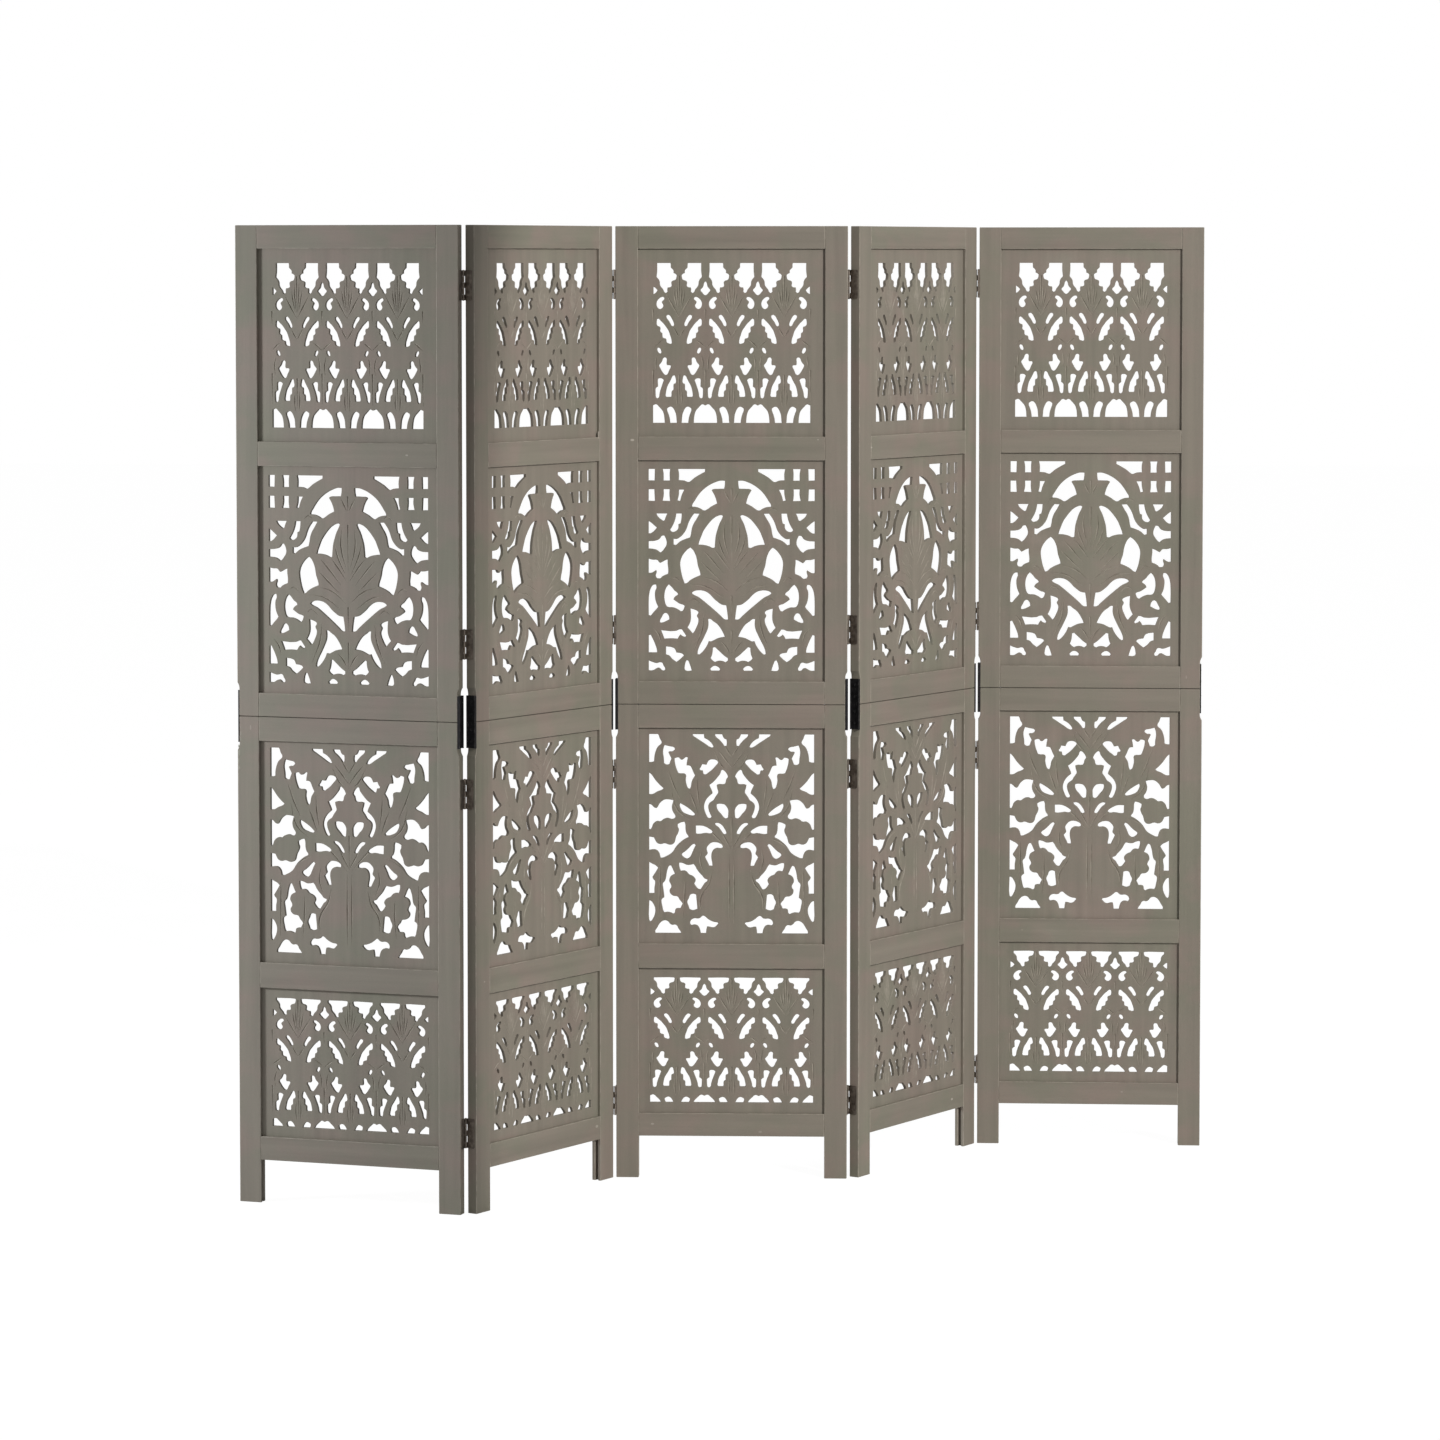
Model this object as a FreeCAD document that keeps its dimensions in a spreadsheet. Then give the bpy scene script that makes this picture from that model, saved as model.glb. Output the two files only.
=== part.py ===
import FreeCAD, Part

import math
import os

from FreeCAD import Placement, Rotation, Vector

# Folding screen of five pierced wooden panels.
# Every panel is a lower and an upper half that stand on each other. Each half has two
# grooved stiles and three rails, and thin pierced frets sit in the grooves between them.
# A steel channel let into the outer edge of each stile joins the two halves.
# Four butt hinges join each panel to the next, behind the ridges and before the valleys.
#
# Row frame: X runs along the screen, +Y points from the front faces to the back, +Z is up,
# and the floor is at zero. Every panel is drawn in its own frame, with its origin on the
# floor at the middle of its front face, and is then placed where the rest pose has it.

doc = FreeCAD.newDocument("CarvedScreen")
sheet = doc.addObject("Spreadsheet::Sheet", "Sizes")

# Driving sizes in millimetres. The four rest folds are in degrees.
DRIVING_SIZES = (
    # One panel, and the stack of rails and openings from the floor to the top
    ("panel_width", "400"),
    ("frame_thickness", "18"),
    ("stile_width", "39"),
    ("leg_height", "73"),
    ("foot_rail_height", "40"),
    ("lower_frieze_opening", "253"),
    ("lower_middle_rail_height", "43"),
    ("vase_opening", "375"),
    ("lower_head_rail_height", "41"),
    ("upper_foot_rail_height", "40"),
    ("lotus_opening", "382"),
    ("upper_middle_rail_height", "41"),
    ("upper_frieze_opening", "323"),
    ("top_rail_height", "39"),
    ("rail_relief", "0.75"),
    # The groove that the frets and the rail tongues sit in
    ("groove_setback", "5.5"),
    ("groove_width", "6.4"),
    ("groove_depth", "7"),
    ("tongue_end_gap", "0.5"),
    # The frets, and the plain margins round their pierced fields
    ("fret_thickness", "6"),
    ("fret_end_gap", "0.5"),
    ("frieze_side_margin", "25.5"),
    ("frieze_head_margin", "24.5"),
    ("frieze_foot_margin", "23.5"),
    ("lotus_side_margin", "17.5"),
    ("lotus_head_margin", "14.5"),
    ("lotus_foot_margin", "18"),
    ("vase_side_margin", "18"),
    ("vase_head_margin", "10.5"),
    ("vase_foot_margin", "17.5"),
    ("foot_frieze_side_margin", "19.5"),
    ("foot_frieze_head_margin", "17"),
    ("foot_frieze_foot_margin", "18"),
    # The steel channels across the seam, and the rebates that they sit in
    ("channel_length", "88"),
    ("channel_depth", "4.7"),
    ("channel_metal", "1.5"),
    ("rebate_depth", "3.5"),
    ("rebate_flat_length", "92"),
    ("rebate_run_out", "11"),
    ("cutter_overrun", "2"),
    # The butt hinges
    ("panel_gap", "3.2"),
    ("hinge_length", "50"),
    ("hinge_above_floor", "135"),
    ("hinge_below_seam", "121"),
    ("hinge_above_seam", "129"),
    ("hinge_below_top", "100"),
    ("leaf_width", "14"),
    ("leaf_thickness", "1.2"),
    ("barrel_radius", "2.5"),
    ("barrel_offset", "2.8"),
    ("pin_radius", "1.2"),
    ("pin_clearance", "0.05"),
    ("pin_overhang", "0.6"),
    ("knuckle_play", "0.3"),
    # How far each fold stands from the straight line at rest
    ("first_ridge_fold", "74.5"),
    ("first_valley_fold", "58.5"),
    ("second_ridge_fold", "59"),
    ("second_valley_fold", "60.5"),
)
for row, (alias, number) in enumerate(DRIVING_SIZES, start=1):
    sheet.set("A%d" % row, alias)
    sheet.set("B%d" % row, number)
    sheet.setAlias("B%d" % row, alias)
doc.recompute()

PANELS = (1, 2, 3, 4, 5)
FOLDS = (1, 2, 3, 4)
SIDES = (-1, 1)
LOWER_STACK = (
    "leg_height",
    "foot_rail_height",
    "lower_frieze_opening",
    "lower_middle_rail_height",
    "vase_opening",
    "lower_head_rail_height",
)
UPPER_STACK = (
    "upper_foot_rail_height",
    "lotus_opening",
    "upper_middle_rail_height",
    "upper_frieze_opening",
    "top_rail_height",
)


def size(alias):
    """The value of one driving size."""
    return float(sheet.get(alias))


def stack(*aliases):
    """The sum of some driving sizes."""
    return sum(size(alias) for alias in aliases)


def formula(*aliases):
    """The same sum as an expression that a property can be bound to."""
    return " + ".join("Sizes." + alias for alias in aliases)


HALF_WIDTH = size("panel_width") / 2
SIGHT_HALF_WIDTH = HALF_WIDTH - size("stile_width")
THICKNESS = size("frame_thickness")
SEAM = stack(*LOWER_STACK)
TOP = SEAM + stack(*UPPER_STACK)
GROOVE_FRONT = size("groove_setback")
GROOVE_BACK = GROOVE_FRONT + size("groove_width")
FRET_MIDDLE = (GROOVE_FRONT + GROOVE_BACK) / 2


# Sketches, pads and pockets

def new_body(label):
    """A body that may hold several pieces of one kind."""
    body = doc.addObject("PartDesign::Body", label)
    body.Label = label
    body.AllowCompound = True
    return body


def sketch_in(body, role, name):
    """An empty sketch on one of the body's own origin planes."""
    sketch = body.newObject("Sketcher::SketchObject", body.Name + "_" + name)
    plane = next(item for item in body.Origin.OriginFeatures if item.Role == role)
    sketch.AttachmentSupport = [(plane, "")]
    sketch.MapMode = "FlatFace"
    return sketch


def draw_outline(sketch, points):
    """Close a line through the points. A point marked 'through' is the middle of an arc."""
    corners = [index for index, point in enumerate(points) if len(point) == 2]
    for turn, index in enumerate(corners):
        following = corners[(turn + 1) % len(corners)]
        start = Vector(*points[index], 0)
        end = Vector(*points[following], 0)
        middle = points[(index + 1) % len(points)]
        if len(middle) == 3:
            sketch.addGeometry(Part.Arc(start, Vector(middle[0], middle[1], 0), end))
        else:
            sketch.addGeometry(Part.LineSegment(start, end))


def pad(body, sketch, name, length):
    """Pad a sketch to one side of its plane, or to both where length is 'both: ...'."""
    feature = body.newObject("PartDesign::Pad", body.Name + "_" + name)
    feature.Profile = sketch
    both_sides = length.startswith("both: ")
    feature.SideType = "Symmetric" if both_sides else "One side"
    feature.setExpression("Length", length.removeprefix("both: "))
    sketch.Visibility = False
    return feature


def pocket_through(body, sketch, name):
    """Cut a sketch through everything on both sides of its plane."""
    feature = body.newObject("PartDesign::Pocket", body.Name + "_" + name)
    feature.Profile = sketch
    feature.SideType = "Symmetric"
    feature.Type = "ThroughAll"
    sketch.Visibility = False
    return feature


# Where each panel stands. The middle panel is square to the row frame, and each fold
# turns about its hinge axis: behind the panels at a ridge, before them at a valley.

HEADING_DEGREES = {3: 0.0}
HEADING_DEGREES[2] = HEADING_DEGREES[3] + size("first_valley_fold")
HEADING_DEGREES[1] = HEADING_DEGREES[2] - size("first_ridge_fold")
HEADING_DEGREES[4] = HEADING_DEGREES[3] + size("second_ridge_fold")
HEADING_DEGREES[5] = HEADING_DEGREES[4] - size("second_valley_fold")
RIDGE_FOLDS = (1, 3)


def turned(panel):
    """The direction of a panel."""
    return Rotation(Vector(0, 0, 1), HEADING_DEGREES[panel])


def axis_in_panel(fold, side):
    """A fold's hinge axis in the frame of the panel that has it on that side."""
    across = side * (HALF_WIDTH + size("panel_gap") / 2)
    if fold in RIDGE_FOLDS:
        return Vector(across, THICKNESS + size("barrel_offset"), 0)
    return Vector(across, -size("barrel_offset"), 0)


foot_point = {3: Vector(0, 0, 0)}
for panel, neighbour, fold, side in ((3, 2, 2, -1), (2, 1, 1, -1), (3, 4, 3, 1), (4, 5, 4, 1)):
    axis = foot_point[panel] + turned(panel).multVec(axis_in_panel(fold, side))
    foot_point[neighbour] = axis - turned(neighbour).multVec(axis_in_panel(fold, -side))

# The origin goes to the middle of the floor that the whole screen covers
reach = []
edge_reach = HALF_WIDTH - size("rebate_depth") + size("channel_depth")
for panel in PANELS:
    for side in SIDES:
        for depth in (0, THICKNESS):
            corner = Vector(side * edge_reach, depth, 0)
            reach.append(foot_point[panel] + turned(panel).multVec(corner))
low_x = min(point.x for point in reach)
high_x = max(point.x for point in reach)
low_y = min(point.y for point in reach)
high_y = max(point.y for point in reach)
screen_middle = Vector((low_x + high_x) / 2, (low_y + high_y) / 2, 0)
stand = {
    panel: Placement(foot_point[panel] - screen_middle, turned(panel)) for panel in PANELS
}


# Stiles: two grooved uprights to each half, with a rebate for the channel at the seam

def build_stiles(panel, half, aliases, base_aliases):
    body = new_body("%s_stiles_%d" % (half, panel))
    profile = sketch_in(body, "XY_Plane", "profile")
    if base_aliases:
        profile.setExpression("AttachmentOffset.Base.z", formula(*base_aliases))
    for side in SIDES:
        outer = side * HALF_WIDTH
        inner = side * SIGHT_HALF_WIDTH
        groove_floor = side * (SIGHT_HALF_WIDTH + size("groove_depth"))
        draw_outline(profile, (
            (outer, 0),
            (inner, 0),
            (inner, GROOVE_FRONT),
            (groove_floor, GROOVE_FRONT),
            (groove_floor, GROOVE_BACK),
            (inner, GROOVE_BACK),
            (inner, THICKNESS),
            (outer, THICKNESS),
        ))
    pad(body, profile, "length", formula(*aliases))
    # The cutter's round run-out brings the rebate back to the edge in an arc
    depth = size("rebate_depth")
    run_out = size("rebate_run_out")
    radius = (run_out ** 2 + depth ** 2) / (2 * depth)
    half_turn = math.atan2(run_out, radius - depth) / 2
    up = 1 if half == "upper" else -1
    flat_end = SEAM + up * size("rebate_flat_length") / 2
    rebate = sketch_in(body, "XZ_Plane", "rebate")
    for side in SIDES:
        floor = side * (HALF_WIDTH - depth)
        outside = side * (HALF_WIDTH + size("cutter_overrun"))
        arc_middle = (
            floor + side * radius * (1 - math.cos(half_turn)),
            flat_end + up * radius * math.sin(half_turn),
            "through",
        )
        draw_outline(rebate, (
            (outside, SEAM - up * size("cutter_overrun")),
            (floor, SEAM - up * size("cutter_overrun")),
            (floor, flat_end),
            arc_middle,
            (side * HALF_WIDTH, flat_end + up * run_out),
            (outside, flat_end + up * run_out),
        ))
    body.Tip = pocket_through(body, rebate, "rebates")
    body.Placement = stand[panel]
    return body


# Rails: grooved where a fret meets them, with glued tongues in the stiles' grooves

def build_rails(panel, half, rails):
    """Each rail is its low and high level, and whether it is grooved below and above."""
    body = new_body("%s_rails_%d" % (half, panel))
    profile = sketch_in(body, "YZ_Plane", "profile")
    tongue = sketch_in(body, "YZ_Plane", "tongue")
    depth = size("groove_depth")
    for low, high, grooved_below, grooved_above in rails:
        points = [(0, low)]
        if grooved_below:
            points += [
                (GROOVE_FRONT, low),
                (GROOVE_FRONT, low + depth),
                (GROOVE_BACK, low + depth),
                (GROOVE_BACK, low),
            ]
        points += [(THICKNESS, low), (THICKNESS, high)]
        if grooved_above:
            points += [
                (GROOVE_BACK, high),
                (GROOVE_BACK, high - depth),
                (GROOVE_FRONT, high - depth),
                (GROOVE_FRONT, high),
            ]
        points.append((0, high))
        draw_outline(profile, points)
        tongue_low = low + depth if grooved_below else low
        tongue_high = high - depth if grooved_above else high
        draw_outline(tongue, (
            (GROOVE_FRONT, tongue_low),
            (GROOVE_BACK, tongue_low),
            (GROOVE_BACK, tongue_high),
            (GROOVE_FRONT, tongue_high),
        ))
    sight = "Sizes.panel_width - 2 * Sizes.stile_width"
    engaged = "2 * (Sizes.groove_depth - Sizes.tongue_end_gap)"
    pad(body, profile, "rail", "both: " + sight)
    body.Tip = pad(body, tongue, "tongues", "both: %s + %s" % (sight, engaged))
    body.Placement = stand[panel]
    return body


# Outlines of the pierced holes. The first number of a point runs from the middle of the
# pattern to the edge of the pierced field, the second from the field's head to its foot.
# In the friezes the first number runs from a leaf's middle to the line between two leaves.

FRIEZE_LEAF_SHARES = {
    "shield": ((0.33, 0), (0.84, 0), (0.855, 0.085), (0.51, 0.187), (0.10, 0.085)),
    "slash": ((0.86, 0.355), (0.50, 0.49), (0.285, 0.50)),
    "drop": ((0.55, 0.588), (0.775, 0.645), (0.38, 0.70)),
    "blade": ((0.18, 0.703), (0.515, 0.837), (0.29, 0.837)),
}
FRIEZE_DOME_SHARES = ((0.555, 1.0), (0.80, 0.887))
FOOT_FRIEZE_LEAF_SHARES = {
    "shield": ((0.12, 0), (0.845, 0), (0.50, 0.132)),
    "slash": ((0.86, 0.323), (0.50, 0.477), (0.285, 0.488)),
    "drop": ((0.55, 0.589), (0.775, 0.653), (0.38, 0.715)),
}
FOOT_FRIEZE_DOME_SHARES = ((0.635, 1.0), (0.84, 0.93))
LOTUS_SHARES = {
    "spandrel": ((0.32, 0), (0.643, 0), (0.635, 0.057), (0.51, 0.066)),
    "inner_head_bar": ((0.74, 0), (0.828, 0), (0.818, 0.059), (0.743, 0.059)),
    "outer_head_bar": ((0.923, 0), (0.998, 0), (0.998, 0.058), (0.927, 0.058)),
    "arch_light": (
        (0.08, 0.06), (0.30, 0.085), (0.475, 0.187), (0.25, 0.195), (0.24, 0.107), (0.09, 0.10),
    ),
    "upper_lune": ((0.11, 0.233), (0.27, 0.267), (0.398, 0.376), (0.21, 0.39)),
    "lower_lune": ((0.495, 0.39), (0.615, 0.465), (0.565, 0.568), (0.375, 0.527)),
    "bow_light": ((0.065, 0.676), (0.35, 0.603), (0.48, 0.616), (0.043, 0.746)),
    "sail": ((0.28, 0.744), (0.41, 0.918), (0.25, 0.855), (0.082, 0.832)),
    "shoulder_wave": (
        (0.388, 0.223), (0.45, 0.222), (0.575, 0.32), (0.698, 0.36), (0.50, 0.34),
    ),
    "side_wave": ((0.80, 0.335), (0.998, 0.358), (0.998, 0.398), (0.85, 0.412)),
    "bow_tie": ((0.77, 0.452), (0.998, 0.447), (0.998, 0.513), (0.765, 0.53)),
    "hook": ((0.755, 0.575), (0.81, 0.64), (0.60, 0.70), (0.67, 0.62)),
    "edge_lune": ((0.93, 0.575), (0.998, 0.65), (0.998, 0.726), (0.89, 0.685)),
    "foot_bar": ((0.60, 0.796), (0.85, 0.80), (0.81, 0.842), (0.57, 0.83)),
}
VASE_SHARES = {
    "corner_light": ((0.89, 0), (0.998, 0), (0.998, 0.142), (0.938, 0.138), (0.85, 0.045)),
    "neck_light": ((0.10, 0.18), (0.27, 0.256), (0.17, 0.296), (0.045, 0.215)),
    "leaf_light": ((0.53, 0.118), (0.69, 0.122), (0.645, 0.196), (0.51, 0.276), (0.445, 0.208)),
    "crown_light": (
        (0.71, 0.33), (0.81, 0.33), (0.91, 0.373), (0.998, 0.352), (0.998, 0.475), (0.95, 0.443),
        (0.685, 0.423),
    ),
    "stem_light": (
        (0.57, 0.441), (0.65, 0.45), (0.70, 0.553), (0.92, 0.545), (0.998, 0.516), (0.998, 0.583),
        (0.85, 0.622), (0.525, 0.516),
    ),
    "shoulder_light": ((0.46, 0.653), (0.635, 0.65), (0.62, 0.685), (0.385, 0.78), (0.295, 0.733)),
    "flower_light": (
        (0.75, 0.66), (0.83, 0.75), (0.82, 0.895), (0.69, 0.90), (0.595, 0.852), (0.745, 0.795),
        (0.69, 0.70),
    ),
}


def frieze_half(leaf_shares, dome_shares, reach_across, head, rise):
    """The right half of a row of three leaves, with domes between them and at the end."""
    half_leaf = reach_across / 3
    outlines = []
    for leaf_middle, side in ((0, 1), (2 * half_leaf, -1), (2 * half_leaf, 1)):
        for shares in leaf_shares.values():
            outlines.append([
                (leaf_middle + side * across * half_leaf, head - down * rise)
                for across, down in shares
            ])
    near = [(across * half_leaf, head - down * rise) for across, down in dome_shares]
    far = [(2 * half_leaf - x, z) for x, z in reversed(near)]
    outlines.append(near + far)
    last = [(2 * half_leaf + x, z) for x, z in near]
    outlines.append(last + [(reach_across, last[-1][1]), (reach_across, last[0][1])])
    return outlines


def plain_half(all_shares, reach_across, head, rise):
    """The right half of a pattern that is drawn once from its middle."""
    return [
        [(across * reach_across, head - down * rise) for across, down in shares]
        for shares in all_shares.values()
    ]


# Frets: thin pierced sheets whose edges sit in the grooves of the stiles and rails

def build_fret(panel, name, low_aliases, opening, margins, drawn_half):
    """margins are the aliases of the side, head and foot margins of the pierced field."""
    body = new_body("%s_%d" % (name, panel))
    low = stack(*low_aliases)
    high = low + size(opening)
    engaged = size("groove_depth") - size("fret_end_gap")
    side_margin, head_margin, foot_margin = (size(alias) for alias in margins)
    blank = sketch_in(body, "XZ_Plane", "blank")
    holes = sketch_in(body, "XZ_Plane", "holes")
    middle = "-(Sizes.groove_setback + Sizes.groove_width / 2)"
    for sketch in (blank, holes):
        sketch.setExpression("AttachmentOffset.Base.z", middle)
    edge = SIGHT_HALF_WIDTH + engaged
    draw_outline(blank, (
        (-edge, low - engaged),
        (edge, low - engaged),
        (edge, high + engaged),
        (-edge, high + engaged),
    ))
    pad(body, blank, "sheet", "both: Sizes.fret_thickness")
    rise = high - head_margin - low - foot_margin
    for outline in drawn_half(SIGHT_HALF_WIDTH - side_margin, high - head_margin, rise):
        draw_outline(holes, outline)
    pierced = pocket_through(body, holes, "pierced")
    mirrored = body.newObject("PartDesign::Mirrored", body.Name + "_other_half")
    mirrored.Originals = [pierced]
    plane = next(item for item in body.Origin.OriginFeatures if item.Role == "YZ_Plane")
    mirrored.MirrorPlane = (plane, [""])
    body.Tip = mirrored
    body.Placement = stand[panel]
    return body


# Channels: bent steel across the seam, standing just proud of the stiles' outer edges

def build_channels(panel):
    floor = HALF_WIDTH - size("rebate_depth")
    metal = size("channel_metal")
    channels = []
    for side, side_name in zip(SIDES, ("left", "right")):
        blank = doc.addObject("Part::Box", "channel_blank_%s_%d" % (side_name, panel))
        blank.setExpression("Length", "Sizes.channel_depth")
        blank.setExpression("Width", "Sizes.frame_thickness")
        blank.setExpression("Height", "Sizes.channel_length")
        low = SEAM - size("channel_length") / 2
        left_x = floor if side > 0 else -floor - size("channel_depth")
        blank.Placement.Base = Vector(left_x, 0, low)
        hollow = doc.addObject("Part::Box", "channel_hollow_%s_%d" % (side_name, panel))
        hollow.setExpression("Length", "Sizes.channel_depth")
        hollow.setExpression("Width", "Sizes.frame_thickness - 2 * Sizes.channel_metal")
        hollow.setExpression("Height", "Sizes.channel_length + 2 * Sizes.cutter_overrun")
        hollow.Placement.Base = Vector(
            left_x + side * metal, metal, low - size("cutter_overrun")
        )
        channel = doc.addObject("Part::Cut", "channel_%s_%d" % (side_name, panel))
        channel.Base = blank
        channel.Tool = hollow
        channels.append(channel)
    pair = doc.addObject("Part::Compound", "joining_channels_%d" % panel)
    pair.Label = "joining_channels_%d" % panel
    pair.Links = channels
    pair.Placement = stand[panel]
    return pair


# Butt hinges: the left panel's leaf has the middle knuckle, the right panel's the outer two.
# The knuckles and pins are drawn with few faces, because there are so many of them.

HINGE_HEIGHTS = (
    size("hinge_above_floor"),
    SEAM - size("hinge_below_seam"),
    SEAM + size("hinge_above_seam"),
    TOP - size("hinge_below_top"),
)
KNUCKLES = 3
KNUCKLE_SIDES = 6
BORE_SIDES = 4
PIN_SIDES = 6


def solid_box(name, corner, length, width, height):
    box = doc.addObject("Part::Box", name)
    box.setExpression("Length", length)
    box.setExpression("Width", width)
    box.setExpression("Height", height)
    box.Placement.Base = corner
    return box


def sided_bar(name, sides, axis, low, radius, height):
    """An upright bar with a few flat sides."""
    bar = doc.addObject("Part::Prism", name)
    bar.Polygon = sides
    bar.setExpression("Circumradius", radius)
    bar.setExpression("Height", height)
    bar.Placement.Base = Vector(axis.x, axis.y, low)
    return bar


def build_leaves(fold, hand, panel, side, own_knuckles):
    """The four leaves that one panel carries on one edge."""
    axis = axis_in_panel(fold, side)
    at_back = fold in RIDGE_FOLDS
    pitch = size("hinge_length") / KNUCKLES
    knuckle_height = "Sizes.hinge_length / %d - Sizes.knuckle_play" % KNUCKLES
    plate_x = side * HALF_WIDTH if side > 0 else -HALF_WIDTH - size("leaf_thickness")
    plate_y = THICKNESS - size("leaf_width") if at_back else 0
    neck_y = THICKNESS - size("leaf_width") if at_back else -size("barrel_offset")
    leaves = []
    for number, height in enumerate(HINGE_HEIGHTS, start=1):
        tag = "%s_%d_%d" % (hand, fold, number)
        low = height - size("hinge_length") / 2
        pieces = [solid_box(
            "plate_" + tag,
            Vector(plate_x, plate_y, low),
            "Sizes.leaf_thickness",
            "Sizes.leaf_width",
            "Sizes.hinge_length",
        )]
        for knuckle in own_knuckles:
            start = low + knuckle * pitch + size("knuckle_play") / 2
            name = "%s_%d" % (tag, knuckle)
            pieces.append(solid_box(
                "neck_" + name,
                Vector(plate_x, neck_y, start),
                "Sizes.leaf_thickness",
                "Sizes.leaf_width + Sizes.barrel_offset",
                knuckle_height,
            ))
            pieces.append(sided_bar(
                "knuckle_" + name,
                KNUCKLE_SIDES,
                axis,
                start,
                "Sizes.barrel_radius",
                knuckle_height,
            ))
        bore = sided_bar(
            "bore_" + tag,
            BORE_SIDES,
            axis,
            low - size("cutter_overrun"),
            "(Sizes.pin_radius + Sizes.pin_clearance) / cos(180 / %d)" % BORE_SIDES,
            "Sizes.hinge_length + 2 * Sizes.cutter_overrun",
        )
        joined = doc.addObject("Part::MultiFuse", "leaf_blank_" + tag)
        joined.Shapes = pieces
        joined.Refine = True
        leaf = doc.addObject("Part::Cut", "leaf_" + tag)
        leaf.Base = joined
        leaf.Tool = bore
        leaves.append(leaf)
    group = doc.addObject("Part::Compound", "%s_leaves_%d" % (hand, fold))
    group.Label = "%s_leaves_%d" % (hand, fold)
    group.Links = leaves
    group.Placement = stand[panel]
    return group


def build_pins(fold, panel, side):
    """The four pins of one fold, seen from the frame of the panel that carries them."""
    axis = axis_in_panel(fold, side)
    pins = []
    for number, height in enumerate(HINGE_HEIGHTS, start=1):
        pins.append(sided_bar(
            "pin_%d_%d" % (fold, number),
            PIN_SIDES,
            axis,
            height - size("hinge_length") / 2 - size("pin_overhang"),
            "Sizes.pin_radius",
            "Sizes.hinge_length + 2 * Sizes.pin_overhang",
        ))
    group = doc.addObject("Part::Compound", "hinge_pins_%d" % fold)
    group.Label = "hinge_pins_%d" % fold
    group.Links = pins
    group.Placement = stand[panel]
    return group


# The five panels

nodes = []
lower_frieze_base = ("leg_height", "foot_rail_height")
vase_base = lower_frieze_base + ("lower_frieze_opening", "lower_middle_rail_height")
lotus_base = LOWER_STACK + ("upper_foot_rail_height",)
upper_frieze_base = lotus_base + ("lotus_opening", "upper_middle_rail_height")
relief = size("rail_relief")
lower_rails = (
    (size("leg_height"), stack(*lower_frieze_base), False, True),
    (stack(*lower_frieze_base, "lower_frieze_opening"), stack(*vase_base), True, True),
    (stack(*vase_base, "vase_opening"), SEAM - relief, True, False),
)
upper_rails = (
    (SEAM + relief, stack(*lotus_base), False, True),
    (stack(*lotus_base, "lotus_opening"), stack(*upper_frieze_base), True, True),
    (stack(*upper_frieze_base, "upper_frieze_opening"), TOP, True, False),
)
for panel in PANELS:
    nodes.append(build_stiles(panel, "lower", LOWER_STACK, ()))
    nodes.append(build_stiles(panel, "upper", UPPER_STACK, LOWER_STACK))
    nodes.append(build_rails(panel, "lower", lower_rails))
    nodes.append(build_rails(panel, "upper", upper_rails))
    nodes.append(build_fret(
        panel,
        "bottom_frieze",
        lower_frieze_base,
        "lower_frieze_opening",
        ("foot_frieze_side_margin", "foot_frieze_head_margin", "foot_frieze_foot_margin"),
        lambda across, head, rise: frieze_half(
            FOOT_FRIEZE_LEAF_SHARES, FOOT_FRIEZE_DOME_SHARES, across, head, rise
        ),
    ))
    nodes.append(build_fret(
        panel,
        "vase_fret",
        vase_base,
        "vase_opening",
        ("vase_side_margin", "vase_head_margin", "vase_foot_margin"),
        lambda across, head, rise: plain_half(VASE_SHARES, across, head, rise),
    ))
    nodes.append(build_fret(
        panel,
        "lotus_fret",
        lotus_base,
        "lotus_opening",
        ("lotus_side_margin", "lotus_head_margin", "lotus_foot_margin"),
        lambda across, head, rise: plain_half(LOTUS_SHARES, across, head, rise),
    ))
    nodes.append(build_fret(
        panel,
        "top_frieze",
        upper_frieze_base,
        "upper_frieze_opening",
        ("frieze_side_margin", "frieze_head_margin", "frieze_foot_margin"),
        lambda across, head, rise: frieze_half(
            FRIEZE_LEAF_SHARES, FRIEZE_DOME_SHARES, across, head, rise
        ),
    ))
    nodes.append(build_channels(panel))

# The four folds
for fold in FOLDS:
    nodes.append(build_leaves(fold, "left", fold, 1, (1,)))
    nodes.append(build_leaves(fold, "right", fold + 1, -1, (0, 2)))
    nodes.append(build_pins(fold, fold + 1, -1))

doc.recompute()

for item in doc.Objects:
    if "Invalid" in item.State or "Error" in item.State:
        raise RuntimeError("%s failed: %s" % (item.Label, item.State))
for node in nodes:
    if node.Shape.isNull() or not node.Shape.isValid() or not node.Shape.Solids:
        raise RuntimeError("%s has no valid solid" % node.Label)

os.makedirs("parts", exist_ok=True)
for node in nodes:
    node.Shape.exportStep("parts/%s.step" % node.Label)
for fold in FOLDS:
    axis = stand[fold].multVec(axis_in_panel(fold, 1))
    print("fold %d axis at %.4f, %.4f" % (fold, axis.x, axis.y))
print("%d nodes, %d solids" % (len(nodes), sum(len(node.Shape.Solids) for node in nodes)))
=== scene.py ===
import math

import bmesh
import bpy
from mathutils import Matrix, Vector


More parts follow.
